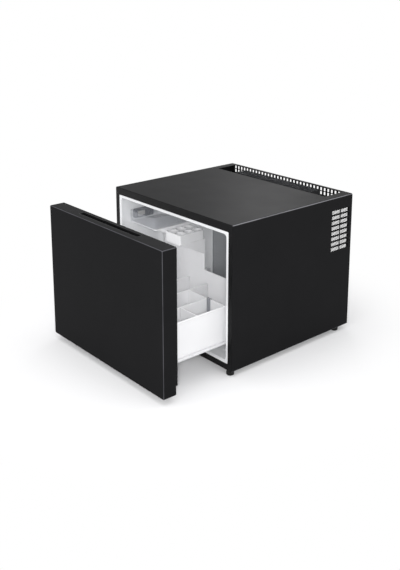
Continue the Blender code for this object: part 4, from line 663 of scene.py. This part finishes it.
# %% Steel pan of the drawer front
PAN_WALL, PAN_CORNER = 1.8, 4
GRIP_HALF = 126 * MM
GRIP_FRONT = SLAB_LOW.y + 16 * MM
GRIP_REAR = GRIP_FRONT + 18 * MM
NOTCH_FRONT = SLAB_HIGH.y - 4.7 * MM
NOTCH_TOP = SLAB_LOW.z + 25 * MM
slab = seen_along((SLAB_LOW, SLAB_HIGH), Y)[0]
pan = skin([
    (*slab, SLAB_LOW.y, PAN_CORNER, 3.0),
    (*slab, SLAB_HIGH.y, PAN_CORNER, 0),
], Y, last=False)
punch(pan, (0, 0, 1), Y, [(GRIP_FRONT, GRIP_REAR)], X, [(-GRIP_HALF, GRIP_HALF)])
for side in (-1, 1):
    cut(pan, (side, 0, 0), Z, [NOTCH_TOP])
slice_at(pan, everything(pan), Y, NOTCH_FRONT)
gone = [face for face in pan.faces if face.calc_center_median().y > NOTCH_FRONT
        and face.calc_center_median().z < NOTCH_TOP]
bmesh.ops.delete(pan, geom=gone, context="FACES")
thicken(pan, PAN_WALL)
finish("drawer_front_pan", pan, powder_coat, "drawer_front_shell")

# %% [markdown]
# ## The finger grip
#
# A moulded cup lines the slot, so fingers touch plastic and not a raw steel edge. Its front wall leans
# forward under the lip.

# %% Lining of the finger grip
CUP_WALL = 1.6
LEAN = 1.5 * MM
mouth, cup_bottom, cup_top = seen_along(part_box("grip_cup"), Z)
inner_mouth = grown(*mouth, -CUP_WALL)
grip = skin([
    ((inner_mouth[0][0], inner_mouth[0][1] + LEAN), inner_mouth[1], cup_bottom + CUP_WALL * MM,
     2.2, 1.6),
    (*inner_mouth, cup_top, 2.2, 0.4),
    (*mouth, cup_top, 2.6, 0.3),
    ((mouth[0][0], mouth[0][1] + LEAN), mouth[1], cup_bottom, 2.6, 1.6),
], Z)
finish("finger_grip_lining", grip, black_abs, "grip_cup")

# %% [markdown]
# ## The panel and the gasket behind the drawer front
#
# Behind the steel pan sits a formed white panel whose raised middle plugs the mouth of the cavity. A
# magnetic gasket runs round it: a dart that snaps into the panel, and a soft bulb that meets the
# cabinet's frame.

# %% Formed inner panel
PLUG_MARGIN, PLUG_DRAFT, PANEL_WALL = 8, 3, 2
edge_ring, _, panel_back = seen_along(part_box("drawer_inner_panel"), Y)
plug = grown(*cavity, -PLUG_MARGIN)
panel_face = SLAB_HIGH.y - 5 * MM
panel = skin([
    (*grown(*plug, -PLUG_DRAFT), panel_back, 12, 2.5),
    (*plug, panel_face, 14, 2),
    (*edge_ring, panel_face, 2, 0),
], Y, segments=8, last=False)
thicken(panel, PANEL_WALL, (0, -1, 0))
finish("formed_inner_panel", panel, liner_white, "drawer_inner_panel")
print("plug depth, mm:", round((panel_back - panel_face) / MM, 1))

# %% Magnetic gasket
seal, foot, tip = seen_along(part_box("drawer_gasket"), Y)
middle = (foot + tip) / 2
chain = [(*grown(*seal, -inset), level, 14 - inset, edge) for inset, level, edge in (
    (1.6, foot, 0), (1.6, middle - MM, 0.3), (0, middle, 0.4), (0.3, tip, 1.0), (7.7, tip, 1.0),
    (8, middle, 0.4), (6.4, middle - MM, 0.3), (6.4, foot, 0))]
finish("magnetic_gasket", skin(chain, Y, closed=True, segments=8), rubber, "drawer_gasket")

# %% [markdown]
# ## The basket
#
# The basket is one moulding with slightly drafted walls, a filleted floor and a rolled rim. Its section
# runs from the outer floor up the outside, round the rim and down the inside to the inner floor, so
# one chain of rings skins it as a closed body.

# %% Moulded basket
basket_low, basket_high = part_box("basket")
BEAD, BASKET_WALL, DRAFT = 1.2, 2.2, 1.0


def basket_ring(inset, level, edge, front=None):
    """One ring of the basket, drawn in by some mm from its widest outline."""
    side = (BEAD + inset) * MM
    low = (basket_low.x + side, basket_low.y + (inset if front is None else front) * MM)
    return low, (basket_high.x - side, basket_high.y - side), level, max(12 - inset, 2), edge


floor_top = basket_low.z + 2.5 * MM
bead_under = basket_high.z - 4 * MM
basket = skin([
    basket_ring(DRAFT, basket_low.z, 4, 0),
    basket_ring(0.05, bead_under - BEAD * MM, 0.4, 0),
    basket_ring(-BEAD, bead_under, 0.5, 0),
    basket_ring(-BEAD, basket_high.z, 1.1, 0),
    basket_ring(BASKET_WALL, basket_high.z, 0.7),
    basket_ring(BASKET_WALL + DRAFT, floor_top, 4),
], Z, segments=8)
finish("moulded_basket", basket, basket_white, "basket")

# %% [markdown]
# ## Dividers, partitions and the clip
#
# These are flat mouldings two millimetres thick. A merged copy of each CAD shape with slightly rounded
# edges is enough to catch the light along every edge. The lengthways dividers end about 60 mm before
# the basket's rear wall, where they leave room for one wide compartment.

# %% Flat mouldings in the basket
DIVIDER_END = depth(76)
for index in range(1, 5):
    soften("basket_divider_%d" % index, "divider_%d" % index, 0.5, basket_white, DIVIDER_END)
for name, node in (("long_cross_partition", "rear_partition"),
                   ("short_cross_partition", "front_partition")):
    soften(name, node, 0.5, basket_white)
soften("partition_clip", "divider_clip", 0.4, pale_grey_abs)

# %% [markdown]
# ## The rack, the smoked tray and the holder
#
# The rack hooks over the basket's rear rim and carries two shelves. The clear tray is skinned like the
# basket. The holder for miniature bottles starts from one tile: a circle for the socket's mouth and
# a second circle pushed out to the tile's square edge, bridged together. The socket is drawn down
# from the circle, the tile is repeated, and a skirt closes the block.

# %% Rack
soften("hooked_rack", "rack", 0.5, basket_white)

# %% Smoked tray
TRAY_WALL, TRAY_DRAFT = 2.0, 0.6
tray_plan, tray_bottom, tray_top = seen_along(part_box("upper_tray"), Z)
tray = skin([
    (*grown(*tray_plan, -TRAY_DRAFT), tray_bottom, 13, 3),
    (*tray_plan, tray_top, 14, 0.7),
    (*grown(*tray_plan, -TRAY_WALL), tray_top, 12, 0.7),
    (*grown(*tray_plan, -TRAY_WALL - TRAY_DRAFT), tray_bottom + TRAY_WALL * MM, 11, 3),
], Z, segments=8)
finish("smoked_tray", tray, smoke, "upper_tray")

# %% Tile of the holder for miniature bottles
VERT, EDGE, FACE = bmesh.types.BMVert, bmesh.types.BMEdge, bmesh.types.BMFace
COLUMNS, ROWS, SIDES = 2, 3, 32
SOCKET_RADIUS = 13.5 * MM
SOCKET_FLOOR = 2 * MM


def only(kind, parts):
    """The vertices, edges or faces among some parts."""
    return [part for part in parts if isinstance(part, kind)]


def shift(shape, parts, move):
    """Move the vertices among some parts."""
    bmesh.ops.translate(shape, verts=only(VERT, parts), vec=move)


holder_low, holder_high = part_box("miniature_holder")
cell = ((holder_high.x - holder_low.x) / COLUMNS, (holder_high.y - holder_low.y) / ROWS)
holder_height = holder_high.z - holder_low.z
holder = bmesh.new()
round_ring = bmesh.ops.create_circle(holder, segments=SIDES, radius=SOCKET_RADIUS)["verts"]
square_ring = bmesh.ops.create_circle(holder, segments=SIDES, radius=1.0)["verts"]
for vert in square_ring:
    reach = max(abs(vert.co.x), abs(vert.co.y))
    vert.co = Vector((vert.co.x / reach * cell[0] / 2, vert.co.y / reach * cell[1] / 2, 0))
shift(holder, round_ring + square_ring,
      (holder_low.x + cell[0] / 2, holder_low.y + cell[1] / 2, holder_high.z))
socket_rims = [edge for edge in holder.edges if edge.verts[0] in round_ring]
bmesh.ops.bridge_loops(holder, edges=holder.edges[:])
drawn = bmesh.ops.extrude_edge_only(holder, edges=socket_rims)["geom"]
shift(holder, drawn, (0, 0, SOCKET_FLOOR - holder_height))
deep = only(VERT, drawn)
bottom = [edge for edge in only(EDGE, drawn) if all(vert in deep for vert in edge.verts)]
bmesh.ops.contextual_create(holder, geom=bottom)
round_edges(holder, bottom, 2.5, 3)
round_edges(holder, socket_rims, 0.9, 3)
print("tile, mm:", [round(size / MM, 1) for size in cell])

# %% Six tiles with a skirt
tile = everything(holder)
for column in range(COLUMNS):
    for row in range(ROWS):
        if column or row:
            copy = bmesh.ops.duplicate(holder, geom=tile)["geom"]
            shift(holder, copy, (column * cell[0], row * cell[1], 0))
bmesh.ops.remove_doubles(holder, verts=holder.verts, dist=10 * HAIR)
outline = [edge for edge in holder.edges if edge.is_boundary]
shift(holder, bmesh.ops.extrude_edge_only(holder, edges=outline)["geom"], (0, 0, -holder_height))
bmesh.ops.contextual_create(holder, geom=[edge for edge in holder.edges if edge.is_boundary])
bmesh.ops.recalc_face_normals(holder, faces=holder.faces)


def square_edges(shape):
    """Edges where two faces meet at about a right angle."""
    return [edge for edge in shape.edges if len(edge.link_faces) == 2 and edge.calc_face_angle() > 1]


uprights = [edge for edge in square_edges(holder)
            if abs(edge.verts[0].co.z - edge.verts[1].co.z) > 5 * MM]
round_edges(holder, uprights, 5, 6)
top_outline = [edge for edge in square_edges(holder)
               if all(abs(vert.co.z - holder_high.z) < HAIR for vert in edge.verts)]
round_edges(holder, top_outline, 1.2, 3)
finish("miniature_bottle_holder", holder, basket_white, "miniature_holder")

# %% [markdown]
# ## Runners and rollers
#
# On each side a folded channel is fixed to the cavity wall and a folded profile carries the basket.
# One roller turns on the channel and one on the profile, on rivets. The turned pieces are spun from
# their half section.


# %% Turned shapes
def turned(profile, steps, axis, place):
    """Spin a closed outline of (radius, level) points in mm round an axis through a place."""
    shape = bmesh.new()
    verts = [shape.verts.new((radius * MM, 0, level * MM)) for radius, level in profile]
    edges = [shape.edges.new((verts[i - 1], verts[i])) for i in range(len(verts))]
    bmesh.ops.spin(shape, geom=verts + edges, axis=(0, 0, 1), cent=(0, 0, 0), angle=math.tau,
                   steps=steps, use_merge=True)
    bmesh.ops.remove_doubles(shape, verts=shape.verts, dist=HAIR)
    bmesh.ops.dissolve_degenerate(shape, edges=shape.edges, dist=HAIR / 10)
    bmesh.ops.delete(shape, geom=[edge for edge in shape.edges if edge.is_wire], context="EDGES")
    if axis == X:
        lying = Matrix.Rotation(math.pi / 2, 3, "Y")
        bmesh.ops.rotate(shape, verts=shape.verts, cent=(0, 0, 0), matrix=lying)
    bmesh.ops.translate(shape, verts=shape.verts, vec=place)
    bmesh.ops.recalc_face_normals(shape, faces=shape.faces)
    return shape


def middle_of(node):
    """The middle of a node's box."""
    low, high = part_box(node)
    return (low + high) / 2


ROLLER = [(2.3, -3.25), (3.5, -3.25), (4.1, -2.7), (5.5, -2.7), (5.9, -3.25), (6.6, -3.25),
          (6.9, -3.0), (7.0, -2.4), (7.0, 2.4), (6.9, 3.0), (6.6, 3.25), (5.9, 3.25), (5.5, 2.7),
          (4.1, 2.7), (3.5, 3.25), (2.3, 3.25)]
for name in ("front", "rear"):
    for side in ("left", "right"):
        node = "%s_roller_%s" % (name, side)
        finish("%s_%s_wheel" % (side, name), turned(ROLLER, 48, X, middle_of(node)), acetal, node)

# %% Channels, profiles and rivets
for side in ("left", "right"):
    for name, node in (("folded_channel_", "runner_channel_"), ("basket_profile_", "drawer_profile_")):
        soften(name + side, node + side, 0.35, white_epoxy)
    dress(zinc, "front_axle_" + side, "rear_axle_" + side)

# %% [markdown]
# ## Feet
#
# Four rubber feet screw into the underside. Each is turned: a broad sole with a rounded edge, a slight
# waist, and a narrow neck.

# %% Rubber feet
FOOT = [(0, -14), (7.6, -14), (8.9, -13.8), (9.7, -13.1), (10, -12), (10, -7.2), (9.8, -6.0),
        (8.9, -1.6), (8.4, -0.7), (7.6, -0.3), (6, -0.3), (6, 1), (3, 1), (3, 5), (0, 5)]
for node in ("foot_front_left", "foot_front_right", "foot_rear_left", "foot_rear_right"):
    top = middle_of(node)
    top.z = CASE_LOW.z
    finish(node.replace("foot", "rubber_foot"), turned(FOOT, 40, Z, top), rubber, node)

# %% [markdown]
# ## Thermostat and lamp
#
# A small grey housing on the cavity's left wall holds the thermostat knob and the lamp. It is a shell
# open towards the wall, with a window for the lens. The knob has fluted edges for the fingers and
# a raised pointer, and the lens has fine ribs that spread the light.

# %% Housing and lens
HOUSING_CORNER, HOUSING_WALL, LENS_CORNER = 5, 1.8, 1.5
RIBS, RIB_HEIGHT, LENS_BORDER = 13, 0.3 * MM, 2 * MM
back_plan, housing_back, housing_front = seen_along(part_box("control_housing"), X)
lens_plan, lens_back, lens_front = seen_along(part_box("lamp_lens"), X)
(window_left, window_low), (window_right, window_high) = grown(*lens_plan, GAP)
housing = skin([
    (*back_plan, housing_back, HOUSING_CORNER, 0),
    (*back_plan, housing_front, HOUSING_CORNER, 2),
], X, first=False)
punch(housing, (1, 0, 0), Z, [(window_low, window_high)], Y, [(window_left, window_right)])
thicken(housing, HOUSING_WALL)
finish("thermostat_housing", housing, grey_abs, "control_housing")

lens = skin([
    (*lens_plan, lens_back, LENS_CORNER, 0.2),
    (*lens_plan, lens_front - RIB_HEIGHT, LENS_CORNER, 0.4),
], X)
first_rib = lens_plan[0][0] + LENS_BORDER
last_rib = lens_plan[1][0] - LENS_BORDER
step = (last_rib - first_rib) / RIBS
cut(lens, (1, 0, 0), Y, [first_rib + i * step for i in range(RIBS + 1)])
strips = [face for face in facing(lens, (1, 0, 0))
          if first_rib < face.calc_center_median().y < last_rib]
bmesh.ops.inset_individual(lens, faces=strips, thickness=0.5 * MM, depth=RIB_HEIGHT)
finish("ribbed_lamp_lens", lens, frosted, "lamp_lens")

# %% Knob
knob_plan = seen_along(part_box("thermostat_knob"), X)[0]
knob_radius = (knob_plan[1][0] - knob_plan[0][0]) / 2 / MM
knob_foot = middle_of("thermostat_knob")
knob_foot.x = housing_front + GAP * MM
KNOB = [(0, -5), (3, -5), (3, 0), (knob_radius, 0), (knob_radius, 1.2), (knob_radius * 0.97, 2.0),
        (knob_radius * 0.9, 2.6), (knob_radius * 0.87, 3.6), (knob_radius * 0.83, 4.0), (0, 3.6)]
POINTER = ((3.0, -0.9, 2.0), (4.0, 0.9, 8.0))
knob = turned(KNOB, 48, X, knob_foot)
knob.normal_update()
flutes = [face for face in knob.faces
          if abs(face.normal.x) < 0.3 and face.calc_center_median().x > knob_foot.x + 2.6 * MM]
flutes.sort(key=lambda face: math.atan2(face.calc_center_median().z - knob_foot.z,
                                        face.calc_center_median().y - knob_foot.y))
bmesh.ops.inset_individual(knob, faces=flutes[::2], thickness=0.15 * MM, depth=-0.25 * MM)
add_box(knob, *[knob_foot + Vector(corner) * MM for corner in POINTER], 0.4)
finish("fluted_thermostat_knob", knob, grey_abs, "thermostat_knob")

# %% [markdown]
# ## The rear cover
#
# The machine compartment is closed by a punched steel cover with a turned edge. Two rows of small
# slots run along its top, and long slots below let air rise through the compartment. The mains inlet
# stands in its own window.

# %% Punched rear cover
COVER_CORNER = 2.7
COVER_EDGE = 7 * MM
MESH_PITCH = (13.1 * MM, 11.5 * MM)
MESH_SLOT = (6.5 * MM, 9 * MM)
MESH_ROWS = 2
LOUVRE_PITCH, LOUVRE_OPEN, LOUVRE_ROWS = 3.7 * MM, 2.4 * MM, 50
cover_plan, cover_front, cover_back = seen_along(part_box("rear_cover"), Y)
inlet_plan, inlet_front, inlet_back = seen_along(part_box("mains_inlet"), Y)
cover = skin([
    (*cover_plan, cover_front, COVER_CORNER, 0),
    (*cover_plan, cover_back, COVER_CORNER, 1.0),
], Y, first=False)
room = cover_plan[1][0] - cover_plan[0][0] - 2 * COVER_EDGE
mesh_count = int(room / MESH_PITCH[0])
mesh_top = cover_plan[1][1] - SHEET * MM - (MESH_PITCH[1] - MESH_SLOT[1])
centres = [(i - (mesh_count - 1) / 2) * MESH_PITCH[0] for i in range(mesh_count)]
mesh_columns = [(x - MESH_SLOT[0] / 2, x + MESH_SLOT[0] / 2) for x in centres]
mesh_rows = row_spans(mesh_top, MESH_PITCH[1], MESH_SLOT[1], MESH_ROWS)
holes = punch(cover, (0, 1, 0), Z, mesh_rows, X, mesh_columns)
third = room / 3
half_louvre = (third - MESH_PITCH[0]) / 2
louvre_columns = [(i * third - half_louvre, i * third + half_louvre) for i in (-1, 0, 1)]
louvre_rows = row_spans(mesh_top - MESH_ROWS * MESH_PITCH[1] - MESH_SLOT[1] / 2, LOUVRE_PITCH,
                        LOUVRE_OPEN, LOUVRE_ROWS)
holes += punch(cover, (0, 1, 0), Z, louvre_rows, X, louvre_columns)
(inlet_left, inlet_low), (inlet_right, inlet_high) = grown(*inlet_plan, 2 * GAP)
punch(cover, (0, 1, 0), Z, [(inlet_low, inlet_high)], X, [(inlet_left, inlet_right)])
thicken(cover, SHEET)
finish("punched_rear_cover", cover, casing_coat, "rear_cover")
print("slots in the cover:", holes)

# %% Mains inlet with its pins
INLET_WALL = 2
PINS = ((-7, -2), (0, 3), (7, -2))
socket = grown(*inlet_plan, -INLET_WALL)
inlet = skin([
    (*inlet_plan, inlet_front, 4, 0.5),
    (*inlet_plan, inlet_back, 4, 0.5),
    (*socket, inlet_back, 2.5, 0.4),
    (*socket, inlet_front + INLET_WALL * MM, 2.5, 0.5),
], Y)
middle = middle_of("mains_inlet")
for x, z in PINS:
    add_box(inlet, (middle.x + (x - 1) * MM, inlet_front + MM, middle.z + (z - 2) * MM),
            (middle.x + (x + 1) * MM, inlet_back - 2 * MM, middle.z + (z + 2) * MM), 0.35)
finish("mains_socket", inlet, black_abs, "mains_inlet")

# %% [markdown]
# ## The cooling unit
#
# A thermoelectric module pumps heat from the cold block to the hot block. A sealed loop carries it as
# vapour to a finned condenser under the top vent, and the liquid runs back down the return pipe.
# The fins are thin aluminium pressed onto a tube, so the tube is drawn from a circle: straight,
# round the bend, and back.

# %% Condenser
FIN_COUNT, FIN_PITCH, FIN_SHEET = 61, 5 * MM, 0.5 * MM
TUBE_RADIUS, TUBE_OVERHANG, TUBE_SPREAD = 4.5 * MM, 6 * MM, 11 * MM
FIN_MARGIN = 0.6 * MM
fins_low, fins_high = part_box("condenser")
fins_middle = middle_of("condenser")
fin_right = fins_high.x - TUBE_OVERHANG
condenser = bmesh.new()
for index in range(FIN_COUNT):
    x = fin_right - FIN_MARGIN - index * FIN_PITCH
    add_box(condenser, (x - FIN_SHEET / 2, fins_low.y, fins_low.z),
            (x + FIN_SHEET / 2, fins_high.y, fins_high.z))
start = Matrix.Translation((fins_high.x, fins_middle.y - TUBE_SPREAD, fins_middle.z))
ring = bmesh.ops.create_circle(condenser, segments=16, radius=TUBE_RADIUS, cap_ends=True,
                               matrix=start @ Matrix.Rotation(math.pi / 2, 4, "Y"))["verts"]
end = [face for face in condenser.faces if all(vert in ring for vert in face.verts)]
bend_x = fin_right - (FIN_COUNT - 1) * FIN_PITCH - TUBE_OVERHANG
run = bmesh.ops.extrude_face_region(condenser, geom=end)["geom"]
shift(condenser, run, (bend_x - fins_high.x, 0, 0))
turn = bmesh.ops.spin(condenser, geom=only(FACE, run), axis=(0, 0, -1), angle=math.pi, steps=12,
                      cent=(bend_x, fins_middle.y, fins_middle.z))["geom_last"]
run = bmesh.ops.extrude_face_region(condenser, geom=only(FACE, turn))["geom"]
shift(condenser, run, (fins_high.x - bend_x, 0, 0))
walls = [face for face in condenser.faces if all(len(edge.link_faces) > 2 for edge in face.edges)]
bmesh.ops.delete(condenser, geom=walls, context="FACES_ONLY")
finish("finned_condenser", condenser, fin_aluminium, "condenser")

# %% Power supply and the parts that keep their CAD shape
soften("moulded_power_supply", "power_supply", 0.8, grey_abs)
dress(zinc, "base_pan", "rear_bulkhead", "clamp_bolt_left", "clamp_bolt_right")
dress(mill_aluminium, "cold_block", "hot_block")
dress(copper, "vapour_pipe", "return_pipe")
dress(foam, "insulation_foam", "drawer_front_foam")
dress(ceramic, "thermoelectric_module")
dress(board, "lamp_board")

# %% [markdown]
# ## Floor, light and camera
#
# The fridge stands on a pale studio floor, which is lit near it and holds its soft shadow. Further out
# the floor turns to plain white for the camera and for reflections, and stays an ordinary floor for
# the light that it throws back.
#
# A black satin object shows what it reflects more than what lights it. A softbox behind the fridge
# gives the top its sheen, which fades towards the back left. The key light stands by the camera, where
# it reaches into the cavity, and is kept out of reflections so that it leaves no glare. Two small
# cards of light in the cavity stand for the glow of its white walls, and no view sees them.

# %% Studio floor
def seen_rays(tree):
    """1 for the rays that show the background, from the camera, in gloss or through glass."""
    rays = add_node(tree, "LightPath")
    seen = add_node(tree, "Math", {"operation": "ADD"},
                    {0: rays.outputs["Is Camera Ray"], 1: rays.outputs["Is Glossy Ray"]})
    seen = add_node(tree, "Math", {"operation": "ADD", "use_clamp": True},
                    {0: seen.outputs["Value"], 1: rays.outputs["Is Transmission Ray"]})
    return seen.outputs["Value"]


FADE_START, FADE_END, FADE_SHAPE = 0.3, 0.64, (1.0, 0.85, 0.0)
FLOOR_HALF = 12.0
floor_paint, tree, shader, place = new_finish("painted_studio_floor")
tree.nodes.remove(shader)
paint = add_node(tree, "BsdfDiffuse", {"Color": linear("#E2E2E3"), "Roughness": 0.6})
flat = add_node(tree, "VectorMath", {"operation": "MULTIPLY", 1: FADE_SHAPE}, {0: place})
reach = add_node(tree, "VectorMath", {"operation": "LENGTH"}, {0: flat.outputs["Vector"]})
fade = add_node(tree, "MapRange", {"interpolation_type": "SMOOTHSTEP", "From Min": FADE_START,
                                   "From Max": FADE_END}, {"Value": reach.outputs["Value"]})
share = add_node(tree, "Math", {"operation": "MULTIPLY"},
                 {0: fade.outputs["Result"], 1: seen_rays(tree)})
glow = add_node(tree, "Emission", {"Color": (1, 1, 1, 1), "Strength": 1.0})
mixed = add_node(tree, "MixShader", None, {0: share.outputs["Value"], 1: paint.outputs["BSDF"],
                                           2: glow.outputs["Emission"]})
tree.links.new(mixed.outputs["Shader"], tree.nodes["Material Output"].inputs["Surface"])

floor_shape = bmesh.new()
bmesh.ops.create_grid(floor_shape, x_segments=1, y_segments=1, size=FLOOR_HALF)
floor = new_object("studio_floor", floor_shape, floor_paint)
print("floor, m:", floor.dimensions.x)

# %% World
world = bpy.data.worlds.new("white_studio")
scene.world = world
world.use_nodes = True
tree = world.node_tree
tree.nodes.clear()
lit, white = [add_node(tree, "Background", {"Color": (1, 1, 1, 1), "Strength": strength})
              for strength in (0.75, 1.0)]
both = add_node(tree, "MixShader", None, {0: seen_rays(tree), 1: lit.outputs["Background"],
                                          2: white.outputs["Background"]})
add_node(tree, "OutputWorld", None, {"Surface": both.outputs["Shader"]})
print("world:", world.name)

# %% Soft lamps: name, place, aim, size in metres, power in watts, rays that don't see it
UNSEEN = ("camera", "glossy", "transmission")
LAMPS = (
    ("overhead_softbox", (0.2, -0.2, 2.2), (0, 0, 0.2), (2.4, 2.0), 24, ()),
    ("front_softbox", (-1.0, -2.4, 1.3), (0, -0.2, 0.2), (1.6, 1.2), 10.5, ()),
    ("key_softbox", (1.66, -1.44, 1.0), (0, -0.05, 0.18), (0.3, 0.3), 22, ("glossy",)),
    ("rear_softbox", (-1.0, 1.3, 1.22), (0.1, -0.1, 0.38), (0.4, 0.4), 5.0, ("camera",)),
    ("front_card", (0, depth(10), 0.2), (0, depth(100), 0.2), (0.42, 0.3), 0.085, UNSEEN),
    ("rear_card", (-0.03, depth(180), 0.2), (-0.2, depth(205), 0.24), (0.05, 0.03), 0.09, UNSEEN))
for name, spot, aim, size, power, hidden_from in LAMPS:
    light = bpy.data.lights.new(name, "AREA")
    light.shape = "RECTANGLE"
    light.size, light.size_y = size
    light.energy = power
    lamp = into_scene(name, light)
    lamp.location = spot
    lamp.rotation_euler = (Vector(aim) - Vector(spot)).to_track_quat("-Z", "Y").to_euler()
    for ray in hidden_from:
        setattr(lamp, "visible_" + ray, False)
    print(name, power, "W")

# %% Camera
AZIMUTH, PITCH = math.radians(49.29), math.radians(12.88)
EYE = (1.57555, -1.36704, 0.97729)
FOCAL_PIXELS, PICTURE_HEIGHT, SENSOR, LENS_SHIFT = 800.19, 570, 36, -0.22
forward = Vector((-math.sin(AZIMUTH) * math.cos(PITCH), math.cos(AZIMUTH) * math.cos(PITCH),
                  -math.sin(PITCH)))
camera = into_scene("camera", bpy.data.cameras.new("camera"))
camera.location = EYE
camera.rotation_euler = forward.to_track_quat("-Z", "Y").to_euler()
camera.data.sensor_width = SENSOR
camera.data.lens = FOCAL_PIXELS / PICTURE_HEIGHT * SENSOR
camera.data.shift_y = LENS_SHIFT

scene.camera = camera
scene.view_settings.view_transform = "Standard"
print("lens, mm:", round(camera.data.lens, 2))
